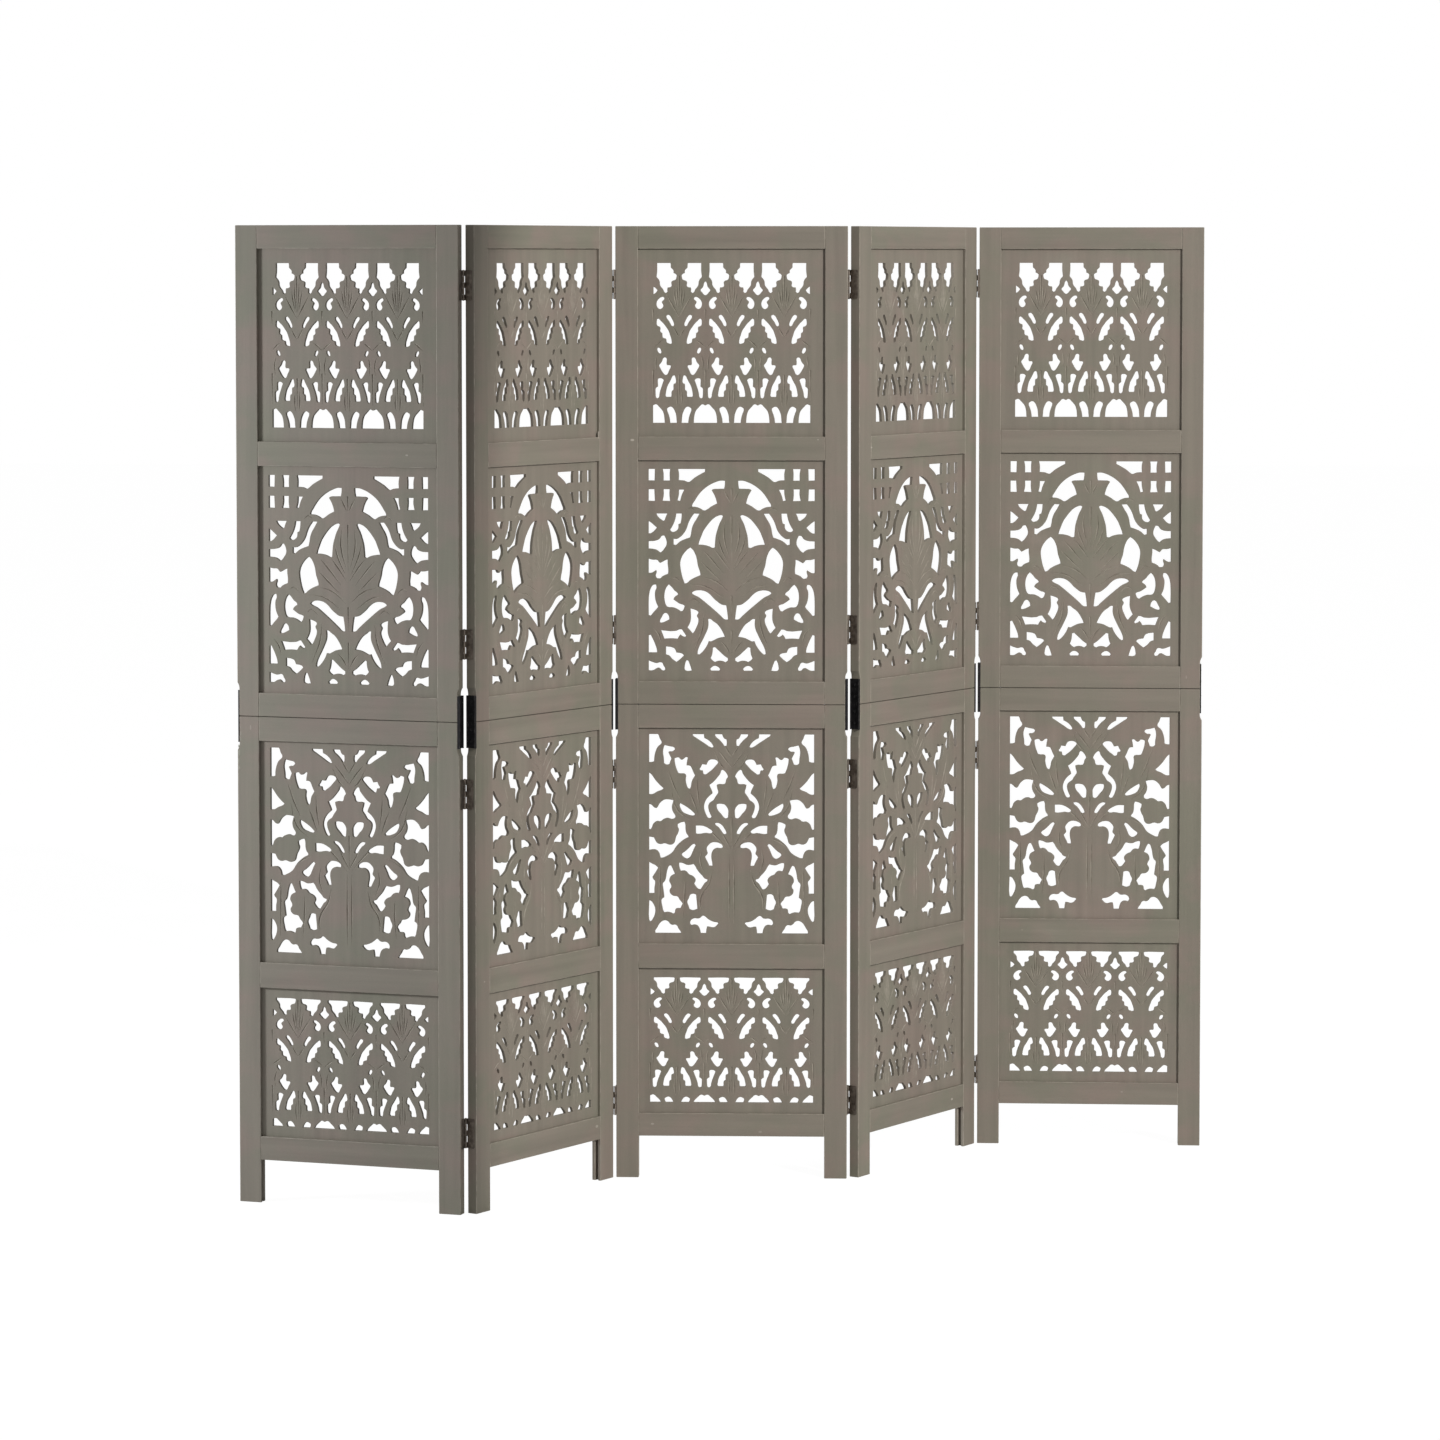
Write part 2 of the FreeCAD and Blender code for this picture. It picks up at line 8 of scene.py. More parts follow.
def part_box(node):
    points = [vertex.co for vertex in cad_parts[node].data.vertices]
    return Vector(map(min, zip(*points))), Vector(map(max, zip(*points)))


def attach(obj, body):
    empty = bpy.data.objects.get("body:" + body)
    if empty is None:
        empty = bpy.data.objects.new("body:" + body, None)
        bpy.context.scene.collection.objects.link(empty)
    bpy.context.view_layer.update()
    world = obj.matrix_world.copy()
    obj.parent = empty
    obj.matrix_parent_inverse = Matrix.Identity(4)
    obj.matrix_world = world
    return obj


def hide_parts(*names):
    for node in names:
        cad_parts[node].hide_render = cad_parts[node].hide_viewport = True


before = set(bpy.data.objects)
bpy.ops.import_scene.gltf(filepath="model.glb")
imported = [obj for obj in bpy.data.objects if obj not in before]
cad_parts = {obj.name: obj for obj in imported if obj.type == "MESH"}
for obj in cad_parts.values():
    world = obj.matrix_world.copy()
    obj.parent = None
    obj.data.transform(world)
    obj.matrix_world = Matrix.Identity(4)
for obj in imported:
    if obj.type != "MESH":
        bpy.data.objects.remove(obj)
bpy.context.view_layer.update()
scene = bpy.context.scene


# Camera
# It stands a little to the right of the middle panel, at about the height of the screen's
# top, with a long lens. Its back is dropped so that the feet and the top both show.
SENSOR_WIDTH = 36
FOCAL_LENGTH = 124.2
BACK_DROP = -0.1273
CAMERA_PLACE = (0.2943, -8.5575, 1.593)
DIP_DEGREES = 3.196
TURN_DEGREES = 2.129


def set_out(name, data):
    """A new object in the scene."""
    item = bpy.data.objects.new(name, data)
    scene.collection.objects.link(item)
    return item


eye = bpy.data.cameras.new("camera")
eye.sensor_width = SENSOR_WIDTH
eye.lens = FOCAL_LENGTH
eye.shift_y = BACK_DROP
camera = set_out("camera", eye)
camera.location = CAMERA_PLACE
camera.rotation_euler = (math.radians(90 - DIP_DEGREES), 0, math.radians(TURN_DEGREES))
scene.camera = camera


# Stiles
# Each half of a panel has two uprights of planed hardwood, grooved for the frets and
# painted a matt grey. The arrises are eased with sandpaper. Their paler paint is partly
# paint rubbed thin and partly a painted highlight along the rounded edges.
MM = 0.001
PANELS = (1, 2, 3, 4, 5)
HALVES = ("lower", "upper")
HEADING = {1: -16.0, 2: 58.5, 3: 0.0, 4: 59.0, 5: -1.5}
ARRIS_RADIUS = 1.1 * MM
ARRIS_STEPS = 3
SHARP_EDGE = math.radians(35)
FLAT_TURN = math.radians(1)
FINISH_GAP = 0.01 * MM
GREY_PAINT = (134, 127, 116)
GREEN_GREY = (128, 126, 112)
ROSE_GREY = (140, 127, 118)
# Paler paint for the arrises: partly paint rubbed thin, partly a painted highlight on the
# rounded edges
RUBBED_AND_HIGHLIGHT_PAINT = (163, 156, 144)
MATT_SHINE = 0.3
BRUSH_MARKS = {"Strength": 0.35, "Distance": 0.25 * MM}
CARD_STEPS = 255
CURVE_LIFT = 0.055
CURVE_POWER = 2.4


def tone(*steps):
    """A paint tone given in the 0 to 255 steps of a colour card."""
    lifted = [(step / CARD_STEPS + CURVE_LIFT) / (1 + CURVE_LIFT) for step in steps]
    return tuple(value ** CURVE_POWER for value in lifted) + (1.0,)


def effect(name, inputs, outputs):
    """An empty node group, the sockets that bring its inputs and those of its outputs."""
    group = bpy.data.node_groups.new(name, "ShaderNodeTree")
    for way, sockets in (("INPUT", inputs), ("OUTPUT", outputs)):
        for label, kind in sockets.items():
            group.interface.new_socket(name=label, in_out=way, socket_type="NodeSocket" + kind)
    start = group.nodes.new("NodeGroupInput")
    return group, start.outputs, group.nodes.new("NodeGroupOutput").inputs


def feed(tree, target, source):
    """Join a socket to another, or set it to a plain value."""
    if isinstance(source, bpy.types.NodeSocket):
        tree.links.new(source, target)
    else:
        target.default_value = source


def feed_all(tree, sockets, values):
    """Feed sockets by their names, in which a low line stands for a space."""
    for label, value in values.items():
        feed(tree, sockets[label.replace("_", " ")], value)


def added(tree, kind, **values):
    """The outputs of a new node whose inputs are fed by name."""
    node = tree.nodes.new("ShaderNode" + kind)
    feed_all(tree, node.inputs, values)
    return node.outputs


def worked(tree, kind, first, second, numbers="Math", result="Value"):
    node = tree.nodes.new("ShaderNode" + numbers)
    node.operation = kind
    feed(tree, node.inputs[0], first)
    feed(tree, node.inputs[1], second)
    return node.outputs[result]


def stretched(tree, vector, scale):
    return worked(tree, "MULTIPLY", vector, scale, "VectorMath", "Vector")


def noise(tree, vector, scale, detail, roughness=0.5):
    return added(tree, "TexNoise", Vector=vector, Scale=scale, Detail=detail,
                 Roughness=roughness)["Fac"]


def spread(tree, value, low, high, bottom=0.0, top=1.0):
    """Stretch what lies between low and high to bottom and top, and hold it there."""
    return added(tree, "MapRange", Value=value, From_Min=low, From_Max=high, To_Min=bottom,
                 To_Max=top)["Result"]


# The places of a Mix node's sockets for its share and two colours, and for their blend
MIX_INPUTS = (0, 6, 7)
MIX_BLEND = 2


def blended(tree, share, first, second, kind="MIX"):
    node = tree.nodes.new("ShaderNodeMix")
    node.data_type = "RGBA"
    node.blend_type = kind
    for place, value in zip(MIX_INPUTS, (share, first, second)):
        feed(tree, node.inputs[place], value)
    return node.outputs[MIX_BLEND]


def brushed_coat():
    """Thin brushed paint: cloudy patches, streaks along the grain and fine specks."""
    group, given, result = effect(
        "brushed_coat",
        {"Vector": "Vector", "Grain": "Vector", "Paint": "Color", "Cool": "Color",
         "Warm": "Color"},
        {"Color": "Color", "Streaks": "Float"},
    )
    place = given["Vector"]
    flatter = stretched(group, place, (1.0, 1.0, 1.4))
    cool = spread(group, noise(group, place, scale=7, detail=3), low=0.47, high=0.66, top=0.8)
    warm = spread(group, noise(group, flatter, scale=11, detail=3), low=0.48, high=0.66, top=0.8)
    coat = blended(group, cool, given["Paint"], given["Cool"])
    coat = blended(group, warm, coat, given["Warm"])
    along = stretched(group, place, given["Grain"])
    streaks = noise(group, along, scale=1, detail=4, roughness=0.6)
    broad = spread(group, streaks, low=0.3, high=0.7, bottom=0.90, top=1.08)
    specks = spread(group, noise(group, place, scale=700, detail=2), low=0.3, high=0.7,
                    bottom=0.97, top=1.03)
    depth = worked(group, "MULTIPLY", broad, specks)
    shade = added(group, "CombineColor", Red=depth, Green=depth, Blue=depth)["Color"]
    coat = blended(group, 1.0, coat, shade, "MULTIPLY")
    feed_all(group, result, {"Color": coat, "Streaks": streaks})
    return group


def arris_rubbing_and_highlight():
    """Paler paint on the eased edges, in broken lengths: paint rubbed thin, and a painted
    highlight.
    """
    group, given, result = effect(
        "arris_rubbing_and_highlight",
        {"Vector": "Vector", "Arris": "Float", "Coat": "Color", "Rubbed": "Color"},
        {"Color": "Color"},
    )
    broken = noise(group, given["Vector"], scale=60, detail=4, roughness=0.65)
    patches = spread(group, broken, low=0.40, high=0.62, bottom=0.15, top=0.85)
    rubbed_and_lit = worked(group, "MULTIPLY", given["Arris"], patches)
    feed(group, result["Color"], blended(group, rubbed_and_lit, given["Coat"], given["Rubbed"]))
    return group


def wood_relief():
    """Open grain and brush marks that still show through the paint."""
    pore_depth = 0.8
    group, given, result = effect("wood_relief", {"Vector": "Vector", "Grain": "Vector"},
                                  {"Height": "Float"})
    along = stretched(group, given["Vector"], given["Grain"])
    fine = noise(group, along, scale=9, detail=5, roughness=0.7)
    pores = worked(group, "MULTIPLY", spread(group, fine, low=0.62, high=0.75), pore_depth)
    bristles = noise(group, along, scale=4, detail=2)
    feed(group, result["Height"], worked(group, "SUBTRACT", bristles, pores))
    return group


BRUSHED_COAT = brushed_coat()
ARRIS_RUBBING_AND_HIGHLIGHT = arris_rubbing_and_highlight()
WOOD_RELIEF = wood_relief()


def placed_group(tree, group, **values):
    node = tree.nodes.new("ShaderNodeGroup")
    node.node_tree = group
    feed_all(tree, node.inputs, values)
    return node.outputs


def bare_finish(name):
    """A new material, its tree, and what places a pattern on it and marks its arrises."""
    material = bpy.data.materials.new(name)
    material.use_nodes = True
    tree = material.node_tree
    arris = tree.nodes.new("ShaderNodeAttribute")
    arris.attribute_name = "arris"
    return material, tree, added(tree, "TexCoord")["Object"], arris.outputs["Fac"]


def finish_with(tree, height, relief, **values):
    """Feed the shader its values, and a fine relief of the given strength and depth."""
    shader = tree.nodes["Principled BSDF"]
    feed_all(tree, shader.inputs, values)
    feed(tree, shader.inputs["Normal"], added(tree, "Bump", Height=height, **relief)["Normal"])


def painted_wood(name, heading, grain, paint=GREY_PAINT):
    """Matt paint on wood. The pattern is turned to the panel, and grain stretches it."""
    material, tree, place, arris = bare_finish(name)
    turn = (0.0, 0.0, math.radians(-heading))
    vector = added(tree, "Mapping", Vector=place, Rotation=turn)["Vector"]
    coat = placed_group(tree, BRUSHED_COAT, Vector=vector, Grain=grain, Paint=tone(*paint),
                        Cool=tone(*GREEN_GREY), Warm=tone(*ROSE_GREY))
    # The arrises get a paler paint: partly paint rubbed thin, partly a painted highlight
    worn = placed_group(tree, ARRIS_RUBBING_AND_HIGHLIGHT, Vector=vector, Arris=arris, Coat=coat["Color"],
                        Rubbed=tone(*RUBBED_AND_HIGHLIGHT_PAINT))
    relief = placed_group(tree, WOOD_RELIEF, Vector=vector, Grain=grain)
    rough = spread(tree, coat["Streaks"], low=0.3, high=0.7, bottom=0.58, top=0.74)
    finish_with(tree, relief["Height"], BRUSH_MARKS, Base_Color=worn["Color"], Roughness=rough,
                Specular_IOR_Level=MATT_SHINE)
    return material


def merged_copy(node):
    """A CAD node's shape as joined faces, with a mark for the faces of its arrises."""
    shape = bmesh.new()
    shape.from_mesh(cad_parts[node].data)
    bmesh.ops.remove_doubles(shape, verts=shape.verts, dist=FINISH_GAP)
    bmesh.ops.dissolve_limit(shape, angle_limit=FLAT_TURN, verts=shape.verts,
                             edges=shape.edges)
    shape.faces.layers.float.new("arris")
    return shape


def rounded(shape, edges, radius, steps):
    """Round the edges, and give back the faces of the rounds."""
    made = bmesh.ops.bevel(shape, geom=edges, offset=radius, offset_type="OFFSET",
                           segments=steps, profile=0.5, affect="EDGES", clamp_overlap=True,
                           material=-1)
    return made["faces"]


def ease_arrises(shape, radius, steps):
    """Round the outward edges, and mark the rounds as arris."""
    mark = shape.faces.layers.float["arris"]
    edges = [edge for edge in shape.edges
             if edge.is_manifold and edge.calc_face_angle_signed() > SHARP_EDGE]
    # On painted wood the rounds get the paler arris paint, partly rubbed and partly a painted
    # highlight; on the channels, worn bare steel
    for face in rounded(shape, edges, radius, steps):
        face[mark] = 1.0


def placed_piece(mesh, name, material, panel, slot, node=None):
    """A finished mesh as a piece that rides on a panel and stands in for a node."""
    mesh.materials.clear()
    mesh.materials.append(material)
    piece = set_out(name, mesh)
    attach(piece, "panel_%d" % panel)
    if node:
        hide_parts(node)


def mesh_from(shape, name):
    mesh = bpy.data.meshes.new(name)
    shape.to_mesh(mesh)
    shape.free()
    return mesh


def piece_from(shape, name, *rest):
    """The worked shape as a piece."""
    placed_piece(mesh_from(shape, name), name, *rest)


SEAM_LEVEL = 825 * MM
SEAM_REACH = 3 * MM


def meet_at_seam(shape, shift):
    """Move the ends that meet at the seam. Their arrises get no paler arris paint, so no painted
    highlight, and the seam stays dark.
    """
    mark = shape.faces.layers.float["arris"]
    for vert in shape.verts:
        if abs(vert.co.z - SEAM_LEVEL) < SEAM_REACH:
            vert.co.z += shift
    for face in shape.faces:
        if abs(face.calc_center_median().z - SEAM_LEVEL) < SEAM_REACH:
            face[mark] = 0.0


def planed_halves(kind, panel, paint, shifts):
    """The stiles or the rails of a panel's two halves, eased and painted."""
    for half, shift in zip(HALVES, shifts):
        node = "%s_%s_%d" % (half, kind, panel)
        shape = merged_copy(node)
        ease_arrises(shape, ARRIS_RADIUS, ARRIS_STEPS)
        meet_at_seam(shape, shift)
        piece_from(shape, "painted_" + node, paint, panel, "frame_paint", node)


UPRIGHT_GRAIN = (55.0, 55.0, 2.2)
STILE_SHIFTS = (-0.45 * MM, 0.45 * MM)
upright_paint = painted_wood("upright_grey_paint", 0.0, UPRIGHT_GRAIN)
for panel in PANELS:
    planed_halves("stiles", panel, upright_paint, STILE_SHIFTS)


# Rails
# Three rails close each half: their tongues are glued into the stiles' grooves. They are
# the same planed and painted wood, with the grain and the brush marks lying level.
LEVEL_GRAIN = (2.2, 55.0, 55.0)
RAIL_SHIFTS = (0.3 * MM, -0.3 * MM)
for panel in PANELS:
    level_paint = painted_wood("level_grey_paint_%d" % panel, HEADING[panel], LEVEL_GRAIN)
    planed_halves("rails", panel, level_paint, RAIL_SHIFTS)


# Frets
# Thin board, sawn through and painted, whose edges sit in the frame's grooves. Every light
# is drawn as a closed line, sharp at its cusps, and V-cuts mark the veins on the front.
# Points are hundredths: across from a pattern's middle to its edge, and down its height.
FRET_THICKNESS = 6.0 * MM
FRET_CHAMFER = 0.35 * MM
CORNER_TURN = math.radians(52)
LEAST_STEP = 0.05 * MM
CURVE_STEPS = 3
KNIT_GAP = FINISH_GAP / 5
LEAVES = 3
LOW_ROW = 86
CUT_STEPS = 4
CUT_HALF_WIDTH = 1.7 * MM
CUT_TIP_SHARE = 0.25
CUT_LIFTS = (0.10 * MM, 0.17 * MM, 0.13 * MM, 0.20 * MM, 0.15 * MM)
CHAMFER_TILT = 0.3
FLAT_TILT = 0.9995
SMOOTH_TURN = math.radians(22)

# One leaf of the friezes, from its middle to the line between two leaves
LEAF_LIGHT_SHARES = (
    ((33, 0), (84, 0), (84, 5), (85.5, 7.3), (86, 8.6), (79, 10), (74.5, 11.5), (73, 13.7),
     (68, 15.1), (61, 16.5), (56, 18.2), (50, 18.7), (44.5, 17.8), (45.5, 16.5), (44, 15.2),
     (34, 15), (29, 14.4), (29, 13.5), (30, 12), (27, 11.2), (14, 10.3), (10.5, 9), (9.5, 7.5),
     (14, 6.8), (21.5, 6.2), (22, 4.5), (27, 3.6), (31.5, 2.8), (32, 1.2)),
    ((56.5, 22), (60, 21.2), (68, 21.3), (77, 22.3), (84, 23.7), (86.5, 25.2), (85, 27),
     (80, 28.2), (74, 28.7), (66, 28.2), (61, 27), (61, 26.2), (65, 25), (66, 24.2),
     (62, 23.4), (57, 22.6)),
    ((42, 32.4), (49, 33), (48, 34.2), (44, 35.2), (38, 36.5), (33, 38), (30, 39), (25, 39.5),
     (21, 39.1), (20, 38), (23, 36.5), (28, 34.8), (33, 33.4), (38, 32.6)),
    ((80, 34.8), (85, 35.3), (86, 37.5), (84.5, 38.8), (79, 39.5), (73, 39.8), (71.5, 41),
     (72.5, 42.4), (70, 43.2), (64.5, 43.8), (64, 45.2), (63, 46.4), (57, 47), (51, 47.3),
     (49, 48), (48.5, 49), (45, 49.9), (40, 50.2), (33, 50.5), (28.5, 50.1), (29.5, 48),
     (35, 45), (41, 42.2), (50, 40), (60, 37.8), (70, 36.2), (78, 34.9)),
    ((75, 53.2), (80, 52.9), (83, 53.4), (83.5, 54.2), (81, 55.3), (77, 56.2), (72, 56.6),
     (68.5, 56), (69.5, 54.7), (72, 53.7)),
    ((48, 59.8), (51, 59.2), (57, 59.1), (62, 59.8), (65, 61.2), (70, 62.6), (75, 63.5),
     (76.5, 64.2), (74, 65.2), (70, 66.4), (66, 67.6), (60, 69), (54, 69.9), (49, 69.9),
     (44, 69.2), (40, 67.6), (36, 66.2), (32.5, 65), (33, 64.1), (38, 63.9), (46, 63.9),
     (48, 63.2), (48, 61.5)),
    ((20, 70.3), (26, 70.9), (29, 72), (33, 73.3), (37, 74.6), (42, 76), (46, 77.5), (49, 79.5),
     (51, 81.5), (51.5, 83), (49, 83.7), (31, 83.7), (29.5, 82.5), (29.5, 80.8), (27.5, 79.9),
     (23, 79.4), (22, 78.4), (22, 76.5), (20.5, 75.6), (15, 75.2), (12.5, 74.2), (13.5, 72.5),
     (15.5, 71), (17, 70.4)),
    ((59, 73.3), (64, 72.4), (72, 72.1), (79, 72.2), (81.5, 73), (81.5, 75), (81, 77.3),
     (85, 77.7), (90, 78.6), (90.5, 80), (90, 82.5), (89, 84.1), (83, 84.7), (77.5, 83.9),
     (75, 81.5), (71, 79), (66.5, 76.8), (62, 74.6)),
    ((9, 100), (10, 98.5), (12, 95), (16, 93), (21, 91.3), (28, 90.1), (34, 89.9), (40, 90.3),
     (46, 91), (46, 92.3), (43, 93.6), (39, 95.5), (36, 97.5), (34.5, 100)),
)
# These stand on the line between two leaves, and only half of each is drawn
DIAMOND_SHARES = (
    (100, 11.4), (95, 12.5), (92, 14.5), (88, 15.6), (82, 16.6), (82, 17.2), (88, 18.4),
    (94, 19.6), (100, 20.1),
)
END_DIAMOND_SHARES = ((98, 14.8), (92, 15.4), (82.5, 17), (90, 18.6), (98, 19.4))
DOME_SHARES = (
    (100, 89.1), (95, 88.7), (90, 88.4), (84, 88.7), (79, 89.6), (72, 90.8), (64, 92.4),
    (60, 94), (57, 96.5), (56, 98.5), (55.5, 100), (100, 100),
)
LEAF_VEIN_SHARES = (
    ((49, 19.5), (27, 26), (0, 33.8)),
    ((0, 8), (0, 30)),
    ((9, 12), (8, 20), (3, 29.5)),
    ((21, 16.5), (16, 22), (8, 28.5)),
    ((23, 40), (12, 43.2), (0, 46.5)),
    ((63, 48), (80, 50), (100, 53)),
    ((100, 29), (100, 37)),
    ((84, 57), (90, 62), (88, 68)),
    ((0, 70), (0, 88)),
    ((8, 78), (10, 84), (7, 90)),
    ((100, 67), (100, 86)),
)

LOTUS_LIGHT_SHARES = (
    ((32, 0.2), (64.3, 0.2), (63.3, 2.5), (63.5, 5.7), (57, 5.9), (51.5, 6.6), (49, 6),
     (45, 4.6), (40, 3.3), (32, 1.5)),
    ((74, 0.2), (82.8, 0.2), (81.8, 2.5), (81.8, 5.9), (74.3, 5.9), (74.5, 2.5)),
    ((92.3, 0.2), (99.8, 0.2), (99.8, 5.8), (92.7, 5.9)),
    ((8, 6), (14, 6), (20, 6.8), (26, 8), (32, 9.7), (37, 11.6), (41, 13.7), (44.5, 16),
     (47.5, 18.2), (47.3, 18.8), (42, 19), (37, 19.8), (33, 20.7), (29, 20), (25, 18.8),
     (17.5, 17.2), (18.5, 15.5), (20.5, 13.2), (24, 10.7), (22.5, 10.2), (17, 10), (9, 9.9),
     (8.2, 8)),
    ((57, 10.4), (63.2, 10.4), (63.5, 13), (65, 15.7), (62, 16), (60, 13)),
    ((74.6, 10.2), (81.8, 10.2), (81.6, 13), (83, 15.9), (74, 16), (74.8, 13)),
    ((93, 10.2), (99.8, 10.2), (99.8, 15.9), (92.3, 16)),
    ((10.5, 23.5), (12, 23), (16, 23.3), (21, 24.4), (26, 26.4), (30, 28.5), (34, 31),
     (36.5, 33.5), (39, 36.2), (39.8, 37.6), (34, 37.7), (27, 38.4), (22.5, 39.2),
     (20.3, 38.9), (19.8, 36), (19, 33), (17, 30), (14.5, 27), (12, 25)),
    ((38.8, 22.3), (45, 22.2), (49, 24.5), (52, 27), (54.5, 30), (58, 32.3), (62, 33.9),
     (66, 34.8), (69.8, 34.7), (69.8, 37.5), (67, 37.8), (62, 36), (57, 35), (50, 34),
     (48.8, 32), (47.8, 29.5), (45.5, 27), (42.5, 25)),
    ((60, 22.2), (66.5, 22.2), (67.5, 24.5), (69.5, 27), (72, 29), (74, 30.3), (72, 31.2),
     (69, 31.2), (66, 30.5), (64.3, 29.5), (64, 27.5), (61.5, 27), (60.5, 25)),
    ((77.5, 22.2), (90.5, 22.2), (88.5, 23.8), (82.5, 25.8), (81, 25.6), (79.5, 24)),
    ((99.8, 26), (98.5, 26.2), (90, 29.2), (97, 31.9), (99.8, 32)),
    ((81, 33.1), (84, 33.3), (86.5, 34.7), (91, 35.6), (99.8, 35.9), (99.8, 39.5),
     (92, 39.9), (88.5, 40.6), (86, 41.5), (84, 41), (80.5, 39.2), (78.3, 37.5), (78.8, 35)),
    ((49.5, 39), (53, 40), (57, 41.8), (60, 43.8), (61.8, 46.5), (61.5, 49), (60.5, 51.5),
     (59, 54), (56.5, 56.8), (54.5, 56.7), (50, 55.2), (45, 54), (37.5, 52.7), (37.8, 51.5),
     (40.5, 48), (42, 44.5), (44, 42), (46.5, 40.2)),
    ((77, 45), (79.5, 45.3), (84, 46.3), (86, 46.7), (88, 45.9), (89, 45.3), (95, 45.1),
     (99.8, 44.6), (99.8, 51.5), (97, 51.6), (91, 50.2), (90.2, 50.8), (91.3, 53),
     (90, 54.2), (86, 54.3), (83.5, 53.3), (76.5, 52), (76.2, 50), (77, 47)),
    ((6.5, 67.6), (12, 67.2), (17, 65.8), (21, 64.4), (25, 62.6), (30, 61), (35, 60.3),
     (41, 60.2), (46, 60.8), (48, 61.6), (46, 62.3), (40, 63.5), (35, 65), (28, 67.4),
     (20, 70.2), (13, 72.8), (8, 74.6), (4.3, 74.6), (5.2, 71)),
    ((75.5, 57.3), (78, 58.5), (80, 60.3), (81, 63), (80.5, 65.5), (79, 67.5), (77, 68.4),
     (71, 68.6), (66, 69.3), (61, 70.6), (59, 70.3), (56.5, 68), (57.5, 67.5), (62, 66.9),
     (67, 65.6), (70, 64.7), (69, 63.7), (64.5, 62.3), (65, 61.6), (69, 60.2), (72, 58.6)),
    ((91, 57.4), (94, 57.5), (97, 59), (99, 61.5), (99.8, 65), (99.8, 72.5), (97.5, 72.8),
     (94, 71), (90, 69.2), (88.5, 68.3), (91, 66), (92.3, 63), (92, 60.5), (90.5, 59)),
    ((78.5, 71.5), (81, 71.6), (84, 73.5), (86.3, 75.5), (86, 76.2), (83.5, 76.2),
     (75, 74.6), (75.5, 73), (77, 72)),
    ((49.5, 69.2), (49, 72), (49.2, 75), (51, 77.2), (53, 78.7), (50, 80), (47, 81.5),
     (45.3, 80.8), (42.5, 78.5), (40.5, 76.5), (40, 74.5), (41.8, 72.7), (40, 71.3),
     (40.5, 70.7), (45, 69.7)),
    ((28.3, 74.4), (27.8, 76.5), (28.5, 79), (31.5, 82), (35, 85), (38.5, 87.8), (40.5, 90),
     (41, 91.8), (39, 92), (36, 91), (32.5, 89.3), (29.5, 87.3), (27.5, 85.3), (25, 85.5),
     (22, 85), (16, 83.8), (8.2, 83.2), (9.5, 81.8), (12.5, 79.5), (17, 77), (22, 75.5),
     (25.5, 74.4)),
    ((60, 79.5), (63, 79.6), (67, 80.3), (85, 80), (82.5, 82.5), (81, 84.2), (73, 84),
     (65, 84.2), (63.5, 83), (61.5, 82), (59.5, 82.8), (56, 83.3), (54.8, 82.6), (57.5, 81)),
    ((97.5, 82.2), (99.8, 82.5), (99.8, 91), (90, 91), (89.8, 90.3), (92.5, 86.5)),
    ((20, 88.3), (22.5, 88.6), (22.8, 90.5), (23.8, 92.5), (25.2, 93.8), (23, 94.9),
     (20, 95.7), (17, 95.2), (11, 95.2), (7.5, 95.8), (4.5, 95), (4.5, 93.8), (9, 92.5),
     (14, 90.6)),
    ((79, 88), (79, 92), (75, 92.6), (71.5, 94.2), (66.5, 95.7), (62, 94.3), (57.5, 92.5),
     (59, 91.7), (66.5, 91), (68, 89.5), (69.5, 88.8)),
    ((54, 94.8), (55.5, 96), (56.5, 98), (56.5, 99.3), (55, 100), (48, 100), (49, 98.5),
     (51, 96.2), (52.5, 95)),
    ((20, 97.6), (23, 98), (25.8, 99.2), (24.5, 100), (15, 100), (13.8, 99.2), (16, 98.2)),
    ((99.8, 95), (99.8, 99.9), (95, 99.9), (91, 99), (88.5, 98.6), (86, 98.9), (84, 99.8),
     (81, 100), (80, 99), (82, 97.5), (83.5, 96.2), (86, 95.9), (90, 96.3), (95, 95.8)),
)
LOTUS_VEIN_SHARES = (
    ((0, 10), (0, 16.8)),
    ((9, 11), (5, 14), (1.5, 17)),
    ((0, 23.5), (0, 46)),
    ((8, 26), (9, 34), (3, 44)),
    ((17, 33), (13, 39), (4, 47)),
    ((21, 40), (13, 44), (2, 50.5)),
    ((34, 40.5), (24, 45), (9, 52.5)),
    ((37, 46), (27, 50), (12, 56)),
    ((36, 53.5), (20, 55.5), (3, 61)),
    ((50, 57.5), (32, 58.2), (10, 64)),
    ((0, 63), (0, 74)),
    ((13, 85.5), (7, 88), (2, 92)),
    ((0, 80), (0, 93)),
    ((33, 71), (36, 80), (46, 90)),
    ((55, 21), (49, 19.5), (44, 21)),
    ((62, 56), (68, 54), (74, 55)),
    ((52, 66), (46, 64.5), (38, 67)),
    ((85, 86), (88, 82), (94, 79)),
)

